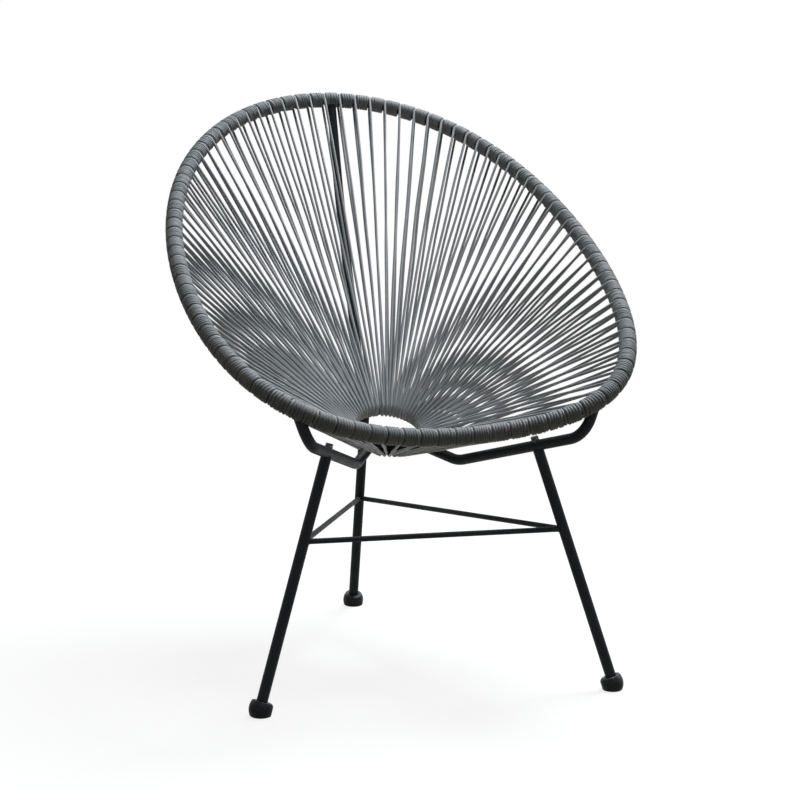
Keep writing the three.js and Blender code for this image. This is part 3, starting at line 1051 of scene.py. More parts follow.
@dataclass
class SeatLacing:
    """The strands: loops of one cord over the rim and round the hub, in three runs.

    A strand wavers like a cord that was coiled once, less near its ends and least at the hub.
    """

    lines: ChairLines
    fans: tuple[tuple[str, int], ...] = (("right", 6), ("front", 2), ("left", 6))
    cord_radius: float = 0.0022
    spine_room: float = 0.0001
    bracket_room: float = 0.0024
    rim_lift: float = 0.0001
    nesting: float = 0.0022
    strand_points: int = 18
    arc_points: int = 9
    drift: float = 0.0009
    drift_turns: tuple[float, float] = (2.0, 6.5)
    drift_sizes: tuple[float, float] = (0.3, 1.0)
    drift_rise: float = 0.8
    hub_drift_share: float = 0.15
    ease_span: float = 0.02
    ease_share: float = 0.3
    ease_passes: int = 2
    seed: int = 7

    @property
    def rim_reach(self) -> float:
        """The distance of a cord's centre from the rim's centre line."""
        return self.lines.rim.tube_radius + self.cord_radius + self.rim_lift

    def _half_angle(self, thickness: float, room: float) -> float:
        """Half the angle on the hub that a joint takes up between the wraps."""
        return math.asin((thickness / 2 + self.cord_radius + room) / self.lines.hub.radius)

    def runs(self) -> list[LaceRun]:
        """Parts the loops into runs at the spine and the brackets.

        Returns:
            The runs, from the spine by the right side.
        """
        lines = self.lines
        spine = self._half_angle(lines.spine_end.thickness, self.spine_room)
        bracket = self._half_angle(2 * lines.hub.tube_radius, self.bracket_room)
        halves = [spine, bracket, bracket, spine]
        joints = [0.0, lines.bracket_hub_angle, 2 * math.pi - lines.bracket_hub_angle, 2 * math.pi]
        counts = [lines.side_loops, lines.front_loops, lines.side_loops]
        beside_spine = math.asin(self.cord_radius / lines.hub.radius)
        runs: list[LaceRun] = []
        loop, fan = 0, 1
        for index, ((name, fans), count) in enumerate(zip(self.fans, counts)):
            nodes = tuple(f"lacing_{number:02d}" for number in range(fan, fan + fans))
            start, end = joints[index] + halves[index], joints[index + 1] - halves[index + 1]
            over_start, over_end = start, end - (end - start) / count
            if index == 0:
                over_start = beside_spine
            if index == len(counts) - 1:
                over_end = 2 * math.pi - beside_spine
            runs.append(
                LaceRun(f"lacing_{name}", loop, count, start, end, over_start, over_end, nodes)
            )
            loop += count
            fan += fans
        return runs

    def _wrap_radius(self, wrap: int) -> float:
        """The radius at which a wrap lies round the hub's tube, each second one between two."""
        return self.lines.hub.tube_radius + self.cord_radius + wrap % 2 * self.nesting

    def _touches(
        self, hub_angle: float, wrap: float, share: float, above: bool
    ) -> tuple[Vector, Vector, Vector]:
        """Finds where a straight strand leaves the hub and meets the rim.

        Args:
            hub_angle: the angle of its wrap on the hub.
            wrap: the wrap's radius round the hub's tube.
            share: the place of its slot on the rim.
            above: whether it runs over both tubes, or under both.

        Returns:
            The touch on the hub, the touch on the rim and the rise from the rim's centre.
        """
        hub, rim = self.lines.hub, self.lines.rim
        hub_core, rim_core = hub.at(hub_angle), rim.at(share)
        straight = (rim_core - hub_core).normalized()
        sign = 1.0 if above else -1.0

        def rise(along: Vector) -> Vector:
            """The upward direction square to the strand and to a tube."""
            up = along.cross(straight).normalized()
            return up if up.dot(hub.up) > 0 else -up

        hub_rise, rim_rise = rise(hub.along(hub_angle)), rise(rim.along(share))
        hub_touch = hub_core + hub_rise * sign * wrap
        return hub_touch, rim_core + rim_rise * sign * self.rim_reach, rim_rise

    def _strand(self, start: Vector, end: Vector, rng: random.Random) -> list[Vector]:
        """Draws a strand with its slight waver.

        Args:
            start: its first point, on the hub.
            end: its last point, on the rim.
            rng: the source of its waver.

        Returns:
            The points, both ends included.
        """
        direction = (end - start).normalized()
        across = direction.cross(Vector((0.0, 0.0, 1.0))).normalized()
        normal = direction.cross(across)
        ranges = self.drift_turns, (0, 2 * math.pi), self.drift_sizes
        waves = [
            (axis, *(rng.uniform(low, high) for low, high in ranges))
            for axis in (across, normal, across)
        ]
        points = []
        for step in range(self.strand_points + 1):
            share = step / self.strand_points
            freedom = self.hub_drift_share + (1 - self.hub_drift_share) * share
            hold = math.sin(math.pi * share) ** self.drift_rise * freedom
            point = start.lerp(end, share)
            for axis, turns, phase, size in waves:
                point += axis * self.drift * size * hold * math.sin(turns * math.pi * share + phase)
            points.append(point)
        return points

    def _rim_turn(self, share: float, rise: Vector, outward: Vector) -> list[Vector]:
        """Draws half a turn round the rim's tube, from the over strand to the under strand.

        Args:
            share: the place of the slot on the rim.
            rise: the unit direction from the tube to the over strand.
            outward: the unit direction away from the strand.

        Returns:
            The points between the two strands.
        """
        centre = self.lines.rim.at(share)
        turns = [math.pi * step / self.arc_points for step in range(1, self.arc_points)]
        return [
            centre + self.rim_reach * (rise * math.cos(turn) + outward * math.sin(turn))
            for turn in turns
        ]

    def _hub_turn(self, under: float, over: float, radius: float, towards: Vector) -> list[Vector]:
        """Draws half a turn round the inner side of the hub's tube, from under to over strand.

        Args:
            under: the angle on the hub of the under strand.
            over: the angle on the hub of the over strand.
            radius: the wrap's radius round the hub's tube.
            towards: the point on the rim that the strands lead to.

        Returns:
            The points between the two strands.
        """
        hub = self.lines.hub
        points = []
        for step in range(1, self.arc_points):
            share = step / self.arc_points
            angle = under + (over - under) * share
            outward = square_to(towards - hub.at(angle), hub.along(angle))
            rise = hub.along(angle).cross(outward)
            if rise.dot(hub.up) < 0:
                rise = -rise
            turn = math.pi * share
            inward = rise * math.cos(turn) + outward * math.sin(turn)
            points.append(hub.at(angle) - radius * inward)
        return points

    def path(self, run: LaceRun) -> list[Vector]:
        """Draws the centre line of one run's cord.

        Args:
            run: the run to lace.

        Returns:
            The cord's points, from its first wrap on the hub to its last.
        """
        rng = random.Random(self.seed + run.first_loop)
        rim = self.lines.rim
        points: list[Vector] = []
        for loop in range(run.loops + 1):
            under_angle, over_angle = run.under_angle(loop), run.over_angle(loop)
            wrap = self._wrap_radius(loop)
            share = self.lines.slot(run.first_loop + min(loop, run.loops - 1))
            if loop == run.loops:
                over_angle = under_angle
            points += self._hub_turn(under_angle, over_angle, wrap, rim.at(share))
            hub_touch, rim_touch, rim_rise = self._touches(over_angle, wrap, share, True)
            if loop == run.loops:
                points.append(hub_touch)
                break
            points += self._strand(hub_touch, rim_touch, rng)
            rim_out = square_to(rim_touch - hub_touch, rim.along(share))
            points += self._rim_turn(share, rim_rise, rim_out)
            next_touch, under, _ = self._touches(
                run.under_angle(loop + 1), self._wrap_radius(loop + 1), share, False
            )
            points += reversed(self._strand(next_touch, under, rng))
        return self._eased(points)

    def _eased(self, points: list[Vector]) -> list[Vector]:
        """Eases the kinks of a path where its points lie close together.

        Args:
            points: the path's points.

        Returns:
            As many points, with the same ends.
        """
        for _ in range(self.ease_passes):
            eased = [points[0]]
            for before, point, after in zip(points, points[1:], points[2:]):
                near = (after - before).length < self.ease_span
                middle = (before + after) / 2
                eased.append(point.lerp(middle, self.ease_share) if near else point)
            points = [*eased, points[-1]]
        return points

    def build(self, material: bpy.types.Material) -> None:
        """Builds the cord of each run.

        Args:
            material: the cord's material.
        """
        for run in self.runs():
            obj = cord_mesh(run.name, [self.path(run)], self.cord_radius)
            finish_piece(obj, run.name, material, run.nodes)


@dataclass
class RimBinding:
    """The cord wound close round the rim, in groups between the loops of the lacing.

    Each turn lies square to the rim and crosses to the next on the side towards the hub.
    """

    lines: ChairLines
    groups: tuple[int, ...] = (11, 12, 12, 12, 11, 12, 12, 12)
    cord_radius: float = 0.0026
    slot_room: float = 0.0051
    squeeze: tuple[float, float] = (0.66, 0.84)
    crossing: float = 0.3
    start_degrees: tuple[float, float] = (170.0, 215.0)
    slack: float = 0.0003
    lean: float = 0.0009
    tucked_turns: float = 0.12
    points_per_turn: int = 28
    seed: int = 21

    def group_path(self, group: int, rng: random.Random) -> list[Vector]:
        """Draws the centre line of the cord of one group.

        Args:
            group: the group's number, from the top centre by the right side.
            rng: the source of its small irregularities.

        Returns:
            The points, with both ends tucked in against the tube.
        """
        rim = self.lines.rim
        room = self.slot_room / rim.length
        low, high = self.lines.slot(group - 1) + room, self.lines.slot(group) - room
        pitch = 2 * self.cord_radius * rng.uniform(*self.squeeze)
        crossings = round((high - low) * rim.length / pitch)
        count = (crossings + 1) * self.points_per_turn
        start = math.radians(rng.uniform(*self.start_degrees))
        slack = [rng.uniform(0.0, self.slack) for _ in range(crossings + 2)]
        lean = [rng.uniform(-self.lean, self.lean) for _ in range(crossings + 2)]
        points = []
        for step in range(count + 1):
            turn = step / self.points_per_turn
            number = min(int(turn), crossings)
            within = turn - number
            passed = number + max(0.0, (within - 1 + self.crossing) / self.crossing)
            share = min(passed, crossings) / crossings
            tuck = max(0.0, 1 - min(turn, crossings + 1 - turn) / self.tucked_turns)
            loose = slack[number] * (1 - within) + slack[number + 1] * within
            radius = rim.tube_radius + self.cord_radius + loose - self.cord_radius * tuck
            angle = start + 2 * math.pi * turn
            tilt = lean[number] * math.sin(2 * math.pi * within) / rim.length
            place_share = low + (high - low) * share + tilt
            points.append(self.lines.beside_rim(place_share, radius, angle))
        return points

    def build(self, material: bpy.types.Material) -> None:
        """Builds the eight stretches of the binding.

        Args:
            material: the cord's material.
        """
        rng = random.Random(self.seed)
        group = -(self.groups[0] - 1) // 2
        for number, count in enumerate(self.groups, 1):
            paths = [self.group_path(group + step, rng) for step in range(count)]
            name = f"binding_cord_{number}"
            obj = cord_mesh(name, paths, self.cord_radius)
            finish_piece(obj, name, material, [f"rim_binding_{number}"])
            group += count


@dataclass
class SpineTie:
    """The doubled turns of cord that cover the spine's joint at the top of the rim."""

    lines: ChairLines
    cord_radius: float = 0.0023
    turns: float = 2.0
    lift: float = 0.0011
    tucked_turns: float = 0.2
    points_per_turn: int = 28

    def build(self, material: bpy.types.Material) -> None:
        """Builds the tie.

        Args:
            material: the cord's material.
        """
        rim = self.lines.rim
        count = round(self.turns * self.points_per_turn)
        points = []
        for step in range(count + 1):
            turn = self.turns * step / count
            share = (turn - self.turns / 2) * 2 * self.cord_radius / rim.length
            tuck = max(0.0, 1 - min(turn, self.turns - turn) / self.tucked_turns)
            radius = rim.tube_radius + self.cord_radius + self.lift * (1 - tuck)
            points.append(self.lines.beside_rim(share, radius, math.pi + 2 * math.pi * turn))
        obj = cord_mesh("spine_tie", [points], self.cord_radius)
        finish_piece(obj, "spine_tie", material)


# Steel work


def bent_tube(name: str, route: TubeRoute, sides: int, arc_steps: int) -> bpy.types.Object:
    """Draws a tube along its route: a disc, extruded straight and spun round each bend.

    Args:
        name: the object's name.
        route: the tube's centre line and radius.
        sides: the number of flats round it.
        arc_steps: the number of steps round a bend.

    Returns:
        The tube, closed at both ends.
    """
    corners = route.corners
    turn = route.start_direction().to_track_quat("Z", "Y").to_euler()
    bpy.ops.object.select_all(action="DESELECT")
    bpy.ops.mesh.primitive_circle_add(
        vertices=sides, radius=route.radius, fill_type="NGON", location=corners[0], rotation=turn
    )
    obj = bpy.context.object
    obj.name = name
    freeze(obj)
    with editing(obj):
        spot = corners[0]
        for bend, before, corner, after in zip(route.bends, corners, corners[1:], corners[2:]):
            back, onward = (before - corner).normalized(), (after - corner).normalized()
            angle = back.angle(onward)
            trim = bend / math.tan(angle / 2)
            step = corner + back * trim - spot
            bpy.ops.mesh.extrude_region_move(TRANSFORM_OT_translate={"value": step})
            centre = corner + (back + onward).normalized() * bend / math.sin(angle / 2)
            bpy.ops.mesh.spin(
                steps=arc_steps, angle=math.pi - angle, center=centre, axis=back.cross(onward)
            )
            spot = corner + onward * trim
        if route.pressed:
            spot = press_end(route, spot)
        bpy.ops.mesh.extrude_region_move(TRANSFORM_OT_translate={"value": corners[-1] - spot})
    face_outwards(obj)
    smooth(obj)
    return obj


def press_end(route: TubeRoute, spot: Vector) -> Vector:
    """Draws the tube that is being edited on to its flare, and narrows its section to the flat.

    Args:
        route: the tube's route.
        spot: where its open section stands.

    Returns:
        Where the flat starts.
    """
    along, end = route.end_direction(), route.pressed
    flat_start = route.corners[-1] - along * end.length
    flare_start = flat_start - along * end.flare
    bpy.ops.mesh.extrude_region_move(TRANSFORM_OT_translate={"value": flare_start - spot})
    bpy.ops.mesh.extrude_region_move(TRANSFORM_OT_translate={"value": along * end.flare})
    shares = (end.thickness / 2 / route.radius, 1.0, end.height / 2 / route.radius)
    bpy.ops.transform.resize(value=shares, center_override=flat_start)
    return flat_start


@dataclass(frozen=True)
class WeldBead:
    """A slightly rippled bead of weld where a tube runs into another."""

    radius: float = 0.0013
    points: int = 64
    ripple: tuple[float, float] = (0.85, 1.15)
    back: float = 0.04
    ahead: float = 0.004
    halvings: int = 24
    seed: int = 1

    def build(
        self,
        name: str,
        end: Vector,
        direction: Vector,
        section: tuple[Vector, Vector],
        gap: Callable[[Vector], float],
    ) -> bpy.types.Object:
        """Lays the bead, by halving the way to the other tube's surface along each line.

        Args:
            name: the object's name.
            end: the tube's end, inside the other tube.
            direction: the unit direction in which the tube reaches its end.
            section: the half axes of the tube's section there.
            gap: the distance of a point to the other tube's surface, negative inside.

        Returns:
            The bead, one closed round.
        """
        rng = random.Random(self.seed)
        ripples = [rng.uniform(*self.ripple) for _ in range(self.points)]
        points = []
        for step in range(self.points):
            angle = 2 * math.pi * step / self.points
            line = end + section[0] * math.cos(angle) + section[1] * math.sin(angle)
            out, within = -self.back, self.ahead
            for _ in range(self.halvings):
                middle = (out + within) / 2
                if gap(line + direction * middle) > 0:
                    out = middle
                else:
                    within = middle
            points.append(line + direction * out)
        return cord_mesh(name, [points], self.radius, closed=True, swell=lambda at: ripples[at])


def line_gap(start: Vector, end: Vector, radius: float) -> Callable[[Vector], float]:
    """Makes a measure of how far a point is from a straight tube's surface.

    Args:
        start: a point on the tube's centre line.
        end: another, further along.
        radius: the tube's radius.

    Returns:
        The function that measures a point.
    """
    direction = (end - start).normalized()

    def gap(point: Vector) -> float:
        """The distance to the tube's surface."""
        offset = point - start
        return (offset - direction * offset.dot(direction)).length - radius

    return gap


@dataclass
class SteelFrame:
    """The welded steel frame: hub ring, spine, two brackets and the rim tube from the CAD."""

    lines: ChairLines
    tube_sides: int = 40
    bend_steps: int = 14
    ring_segments: int = 128
    ring_sides: int = 28
    weld: WeldBead = WeldBead()
    tubes: dict[str, bpy.types.Object] = field(default_factory=dict)

    def _hub_ring(self, material: bpy.types.Material) -> None:
        """Builds the hub ring, tilted with its back edge up.

        Args:
            material: the ring's material.
        """
        hub = self.lines.hub
        bpy.ops.object.select_all(action="DESELECT")
        bpy.ops.mesh.primitive_torus_add(
            major_segments=self.ring_segments,
            minor_segments=self.ring_sides,
            major_radius=hub.radius,
            minor_radius=hub.tube_radius,
            location=hub.centre,
            rotation=(hub.tilt, 0.0, 0.0),
        )
        obj = bpy.context.object
        freeze(obj)
        smooth(obj)
        finish_piece(obj, "hub_ring_tube", material, ["hub_ring"])

    def _hub_gap(self, point: Vector) -> float:
        """Measures how far a point is from the hub ring's surface.

        Args:
            point: the point.

        Returns:
            The distance, negative inside the ring's tube.
        """
        hub = self.lines.hub
        offset = point - hub.centre
        height = offset.dot(hub.up)
        flat = (offset - hub.up * height).length - hub.radius
        return math.hypot(flat, height) - hub.tube_radius

    def _tube(self, name: str, node: str, route: TubeRoute, material: bpy.types.Material) -> None:
        """Builds a bent tube with the bead of weld at its end on the hub.

        Args:
            name: the tube's name.
            node: the CAD node that it stands for.
            route: its centre line.
            material: its material.
        """
        tube = bent_tube(name, route, self.tube_sides, self.bend_steps)
        finish_piece(tube, name, material, [node])
        self.tubes[node] = tube
        weld = f"{name}_hub_weld"
        end = route.corners[-1]
        bead = self.weld.build(weld, end, route.end_direction(), route.end_section(), self._hub_gap)
        finish_piece(bead, weld, material)

    def build(self, wardrobe: Wardrobe) -> None:
        """Builds the frame's tubes and dresses the ones kept from the CAD.

        Args:
            wardrobe: the chair's materials.
        """
        self._hub_ring(wardrobe.steel)
        supports = (
            ("spine", "spine_tube", self.lines.spine()),
            ("bracket_bar_right", "bracket_right", self.lines.bracket(Side.RIGHT)),
            ("bracket_bar_left", "bracket_left", self.lines.bracket(Side.LEFT)),
        )
        for name, node, (route, _) in supports:
            self._tube(name, node, route, wardrobe.steel)
        dress_node("rim_tube", wardrobe.steel)


def dress_node(node: str, material: bpy.types.Material) -> None:
    """Gives a CAD node that is kept its procedural material.

    Args:
        node: the node's name.
        material: its material.
    """
    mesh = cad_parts[node].data
    mesh.materials.clear()
    mesh.materials.append(material)
    log.info("%s: kept, in %s", node, material.name)


@dataclass(frozen=True)
class BootShape:
    """A rubber foot: an upright barrel whose top, dish and bore are square to the leg."""

    radius: float = 0.0174
    sole_radius: float = 0.0155
    widest_height: float = 0.009
    top_reach: float = 0.0215
    shoulder: float = 0.0055
    dish: float = 0.0012
    dish_radius: float = 0.0125
    sole: float = 0.006
    centre_height: float = 0.015
    edge: float = 0.0013
    edge_middle_share: float = 0.3
    barrel_step: float = 0.002
    barrel_steps: int = 14
    shoulder_steps: int = 8
    sides: int = 72
    bevel: float = 0.0005
    bevel_segments: int = 3
    bevel_degrees: float = 30.0
    smooth_degrees: float = 50.0

    def barrel(self) -> list[tuple[float, float]]:
        """Draws the bulging side's profile, from the rounded edge of the sole up.

        Returns:
            Its radii and heights.
        """
        tuck = self.radius - self.sole_radius
        bulge = (self.widest_height ** 2 + tuck ** 2) / (2 * tuck)
        halfway = self.edge_middle_share * self.edge
        profile = [(self.sole_radius - self.edge, 0.0), (self.sole_radius - halfway, halfway)]
        for step in range(self.barrel_steps):
            height = self.edge + step * self.barrel_step
            offset = height - self.widest_height
            profile.append((self.radius - bulge + math.sqrt(bulge ** 2 - offset ** 2), height))
        return profile

    def cap(self) -> list[tuple[float, float]]:
        """Draws the profile that rounds the top's edge, along the leg.

        Returns:
            Its radii and heights.
        """
        profile = [(self.radius, -self.radius)]
        for step in range(self.shoulder_steps + 1):
            angle = math.pi / 2 * step / self.shoulder_steps
            profile.append((
                self.radius - self.shoulder + self.shoulder * math.cos(angle),
                self.top_reach - self.shoulder + self.shoulder * math.sin(angle),
            ))
        return profile

    def hollow(self, bore: float) -> list[tuple[float, float]]:
        """Draws the profile of the bore and the dish round it, along the leg.

        Args:
            bore: the bore's radius.

        Returns:
            Its radii and heights.
        """
        return [
            (bore, self.sole),
            (bore, self.top_reach - self.dish),
            (self.dish_radius, self.top_reach),
            (self.dish_radius, self.top_reach + self.dish),
        ]


@dataclass(frozen=True)
class BoltShape:
    """A hexagon bolt: a chamfered head with a bearing face, and a plain shank."""

    radius: float = 0.003
    reach: float = 0.018
    flats: float = 0.010
    head_height: float = 0.004
    bearing_height: float = 0.0003
    lower_chamfer: float = 0.0007
    upper_chamfer: float = 0.0009
    bearing_share: float = 0.49
    crown_share: float = 0.47
    past_corner_share: float = 1.02
    shank_overlap: float = 0.001
    head_sides: int = 6
    chamfer_sides: int = 48
    shank_sides: int = 28

    @property
    def corner_radius(self) -> float:
        """The radius of the head over its corners."""
        return self.flats / math.sqrt(3)

    def build(self, name: str, seat: float, low: float) -> bpy.types.Object:
        """Builds the bolt along +Z.

        Args:
            name: the object's name.
            seat: the height of the leg's top, from which the shank reaches down.
            low: the height of the head's underside.

        Returns:
            The bolt.
        """
        high = low + self.head_height
        corner, past = self.corner_radius, self.corner_radius * self.past_corner_share
        head = [(corner, low + self.bearing_height), (corner, high)]
        bolt = turned(name, head, self.head_sides)
        cone = [
            (self.flats * self.bearing_share, low),
            (past, low + self.lower_chamfer),
            (past, high - self.upper_chamfer),
            (self.flats * self.crown_share, high),
        ]
        shank = [(self.radius, seat - self.reach), (self.radius, low + self.shank_overlap)]
        combine(bolt, Carve.TRIM, turned("cone", cone, self.chamfer_sides))
        combine(bolt, Carve.JOIN, turned("shank", shank, self.shank_sides))
        return bolt


@dataclass(frozen=True)
class WasherShape:
    """A thick washer with a skirt that is hollowed to sit on a tube."""

    radius: float = 0.006
    thickness: float = 0.0016
    skirt: float = 0.0022
    chamfer: float = 0.0005
    sides: int = 48


@dataclass
class Leg:
    """One leg with its bolt, washer and rubber foot, modelled along its own axis."""

    name: str
    foot: Vector
    seat: Vector
    carrier: bpy.types.Object
    boot: BootShape = BootShape()
    bolt: BoltShape = BoltShape()
    washer: WasherShape = WasherShape()
    radius: float = 0.008
    gap: float = 0.0003
    sides: int = 40
    smooth_degrees: float = 25.0

    @property
    def axis(self) -> Vector:
        """The unit direction from the foot to the seat."""
        return (self.seat - self.foot).normalized()

    @property
    def length(self) -> float:
        """The distance from the floor to the seat."""
        return (self.seat - self.foot).length

    @property
    def carrier_top(self) -> float:
        """The height of the carrying tube's top, along the leg."""
        return self.length + self.radius

    @property
    def washer_top(self) -> float:
        """The height of the washer's top, along the leg."""
        return self.carrier_top + self.gap + self.washer.thickness

    def _upright(self, obj: bpy.types.Object) -> None:
        """Puts a piece modelled along +Z on the leg's axis."""
        place(obj, upright_place(self.foot, self.axis))

    def _coped(self, obj: bpy.types.Object) -> None:
        """Cuts the carrying tube's form out of a piece."""
        combine(obj, Carve.CUT, self.carrier, keep_tool=True)

    def _tube(self, material: bpy.types.Material) -> None:
        """Builds the leg's tube, coped to the tube that it carries.

        Args:
            material: the tube's material.
        """
        heights = (self.boot.sole, self.length / 2, self.length)
        profile = [(self.radius, height) for height in heights]
        leg = turned(f"leg_bar_{self.name}", profile, self.sides)
        self._upright(leg)
        self._coped(leg)
        smooth(leg)
        finish_piece(leg, f"leg_bar_{self.name}", material, [f"leg_{self.name}"])

    def _boot(self, material: bpy.types.Material) -> None:
        """Builds the rubber foot: a barrel on the floor, capped and bored along the leg.

        Args:
            material: the foot's material.
        """
        shape = self.boot
        centre = self.foot + self.axis * shape.centre_height / self.axis.z
        boot = turned(f"boot_{self.name}", shape.barrel(), shape.sides)
        place(boot, Matrix.Translation((centre.x, centre.y, 0.0)))
        hollow = shape.hollow(self.radius + self.gap)
        for carve, profile in ((Carve.TRIM, shape.cap()), (Carve.CUT, hollow)):
            tool = turned("tool", profile, shape.sides)
            self._upright(tool)
            combine(boot, carve, tool)
        face_outwards(boot)
        apply_modifier(
            boot,
            "BEVEL",
            width=shape.bevel,
            segments=shape.bevel_segments,
            limit_method="ANGLE",
            angle_limit=math.radians(shape.bevel_degrees),
        )
        smooth(boot, shape.smooth_degrees)
        finish_piece(boot, f"boot_{self.name}", material, [f"foot_{self.name}"])

    def _bolt(self, material: bpy.types.Material) -> None:
        """Builds the hexagon bolt.

        Args:
            material: the bolt's material.
        """
        name = f"hex_bolt_{self.name}"
        bolt = self.bolt.build(name, self.length - self.radius, self.washer_top)
        self._upright(bolt)
        smooth(bolt, self.smooth_degrees)
        finish_piece(bolt, name, material, [f"bolt_{self.name}"])

    def _washer(self, material: bpy.types.Material) -> None:
        """Builds the washer with its skirt, hollowed to sit on the tube.

        Args:
            material: the washer's material.
        """
        shape, top = self.washer, self.washer_top
        name = f"seat_washer_{self.name}"
        profile = [
            (shape.radius, self.carrier_top - shape.skirt),
            (shape.radius, top - shape.chamfer),
            (shape.radius - shape.chamfer, top),
        ]
        washer = turned(name, profile, shape.sides)
        self._upright(washer)
        self._coped(washer)
        smooth(washer, self.smooth_degrees)
        finish_piece(washer, name, material, [f"saddle_washer_{self.name}"])

    def build(self, wardrobe: Wardrobe) -> None:
        """Builds the leg's pieces.

        Args:
            wardrobe: the chair's materials.
        """
        self._tube(wardrobe.steel)
        self._boot(wardrobe.rubber)
        self._bolt(wardrobe.zinc)
        self._washer(wardrobe.zinc)
        dress_node(f"leg_insert_{self.name}", wardrobe.zinc)


@dataclass
class Braces:
    """The rods that tie the legs, with a bead of weld at each end."""

    legs: dict[str, Leg]
    radius: float = 0.004
    inset: float = 0.004
    sides: int = 24
    weld: WeldBead = WeldBead(radius=0.0009)
    heights: dict[str, float] = field(
        default_factory=lambda: {"front_right": 0.2365, "front_left": 0.2365, "rear": 0.197}
    )
    pairs: tuple[tuple[str, str, str], ...] = (
        ("front", "front_left", "front_right"),
        ("right", "front_right", "rear"),
        ("left", "front_left", "rear"),
    )

    def _joint(self, name: str) -> Vector:
        """The point on a leg's axis where its braces meet."""
        leg = self.legs[name]
        return leg.foot.lerp(leg.seat, self.heights[name] / leg.seat.z)

    def _weld(
        self, name: str, leg_name: str, at: Vector, way: Vector, material: bpy.types.Material
    ) -> None:
        """Lays the bead of weld between a rod and a leg.

        Args:
            name: the rod's name.
            leg_name: the leg's name.
            at: the rod's end.
            way: the unit direction in which the rod reaches it.
            material: the bead's material.
        """
        leg = self.legs[leg_name]
        across = way.orthogonal().normalized() * self.radius
        gap = line_gap(leg.foot, leg.seat, leg.radius)
        bead = self.weld.build("bead", at, way, (across, way.cross(across)), gap)
        finish_piece(bead, f"brace_weld_{name}_{leg_name}", material)

    def build(self, material: bpy.types.Material) -> None:
        """Builds the rods and their welds.

        Args:
            material: the rods' material.
        """
        for name, first, second in self.pairs:
            start, end = self._joint(first), self._joint(second)
            direction, span = (end - start).normalized(), (end - start).length
            heights = (self.inset, span / 2, span - self.inset)
            profile = [(self.radius, height) for height in heights]
            rod = turned(f"brace_rod_{name}", profile, self.sides)
            place(rod, upright_place(start, direction))
            smooth(rod)
            finish_piece(rod, f"brace_rod_{name}", material, [f"brace_{name}"])
            self._weld(name, second, end - direction * self.inset, direction, material)
            self._weld(name, first, start + direction * self.inset, -direction, material)


# Studio


@dataclass(frozen=True)
class Lamp:
    """A square soft lamp."""

    name: str
    spot: tuple[float, float, float]
    aim: tuple[float, float, float]
    size: float
    power: float
    colour: tuple[float, float, float]

    def build(self) -> None:
        """Hangs the lamp, facing its aim."""
        data = bpy.data.lights.new(self.name, "AREA")
        data.shape = "SQUARE"
        data.size = self.size
        data.energy = self.power
        data.color = self.colour
        lamp = bpy.data.objects.new(self.name, data)
        direction = Vector(self.aim) - Vector(self.spot)
        turn = direction.to_track_quat("-Z", "Y").to_matrix().to_4x4()
        lamp.matrix_world = Matrix.Translation(self.spot) @ turn
        bpy.context.collection.objects.link(lamp)


@dataclass(frozen=True)
class PhotoCamera:
    """The camera at the photograph's angle."""

    spot: tuple[float, float, float] = (-0.6732, -2.6213, 0.7808)
    yaw: float = math.radians(15.02)
    pitch: float = math.radians(-8.29)
    roll: float = math.radians(0.60)
    focal_length_mm: float = 76.9
    sensor_width_mm: float = 36.0
    far_end: float = 50.0

    def build(self) -> None:
        """Sets the camera up."""
        forward = Vector((
            math.sin(self.yaw) * math.cos(self.pitch),
            math.cos(self.yaw) * math.cos(self.pitch),
            math.sin(self.pitch),
        ))
        level = Vector((math.cos(self.yaw), -math.sin(self.yaw), 0.0))
        upward = level.cross(forward)
        right = level * math.cos(self.roll) + upward * math.sin(self.roll)
        up = upward * math.cos(self.roll) - level * math.sin(self.roll)
        data = bpy.data.cameras.new("photo_camera")
        data.lens = self.focal_length_mm
        data.sensor_width = self.sensor_width_mm
        data.clip_end = self.far_end
        camera = bpy.data.objects.new("photo_camera", data)
        turn = Matrix((right, up, -forward)).transposed().to_4x4()
        camera.matrix_world = Matrix.Translation(self.spot) @ turn
        bpy.context.collection.objects.link(camera)
        bpy.context.scene.camera = camera


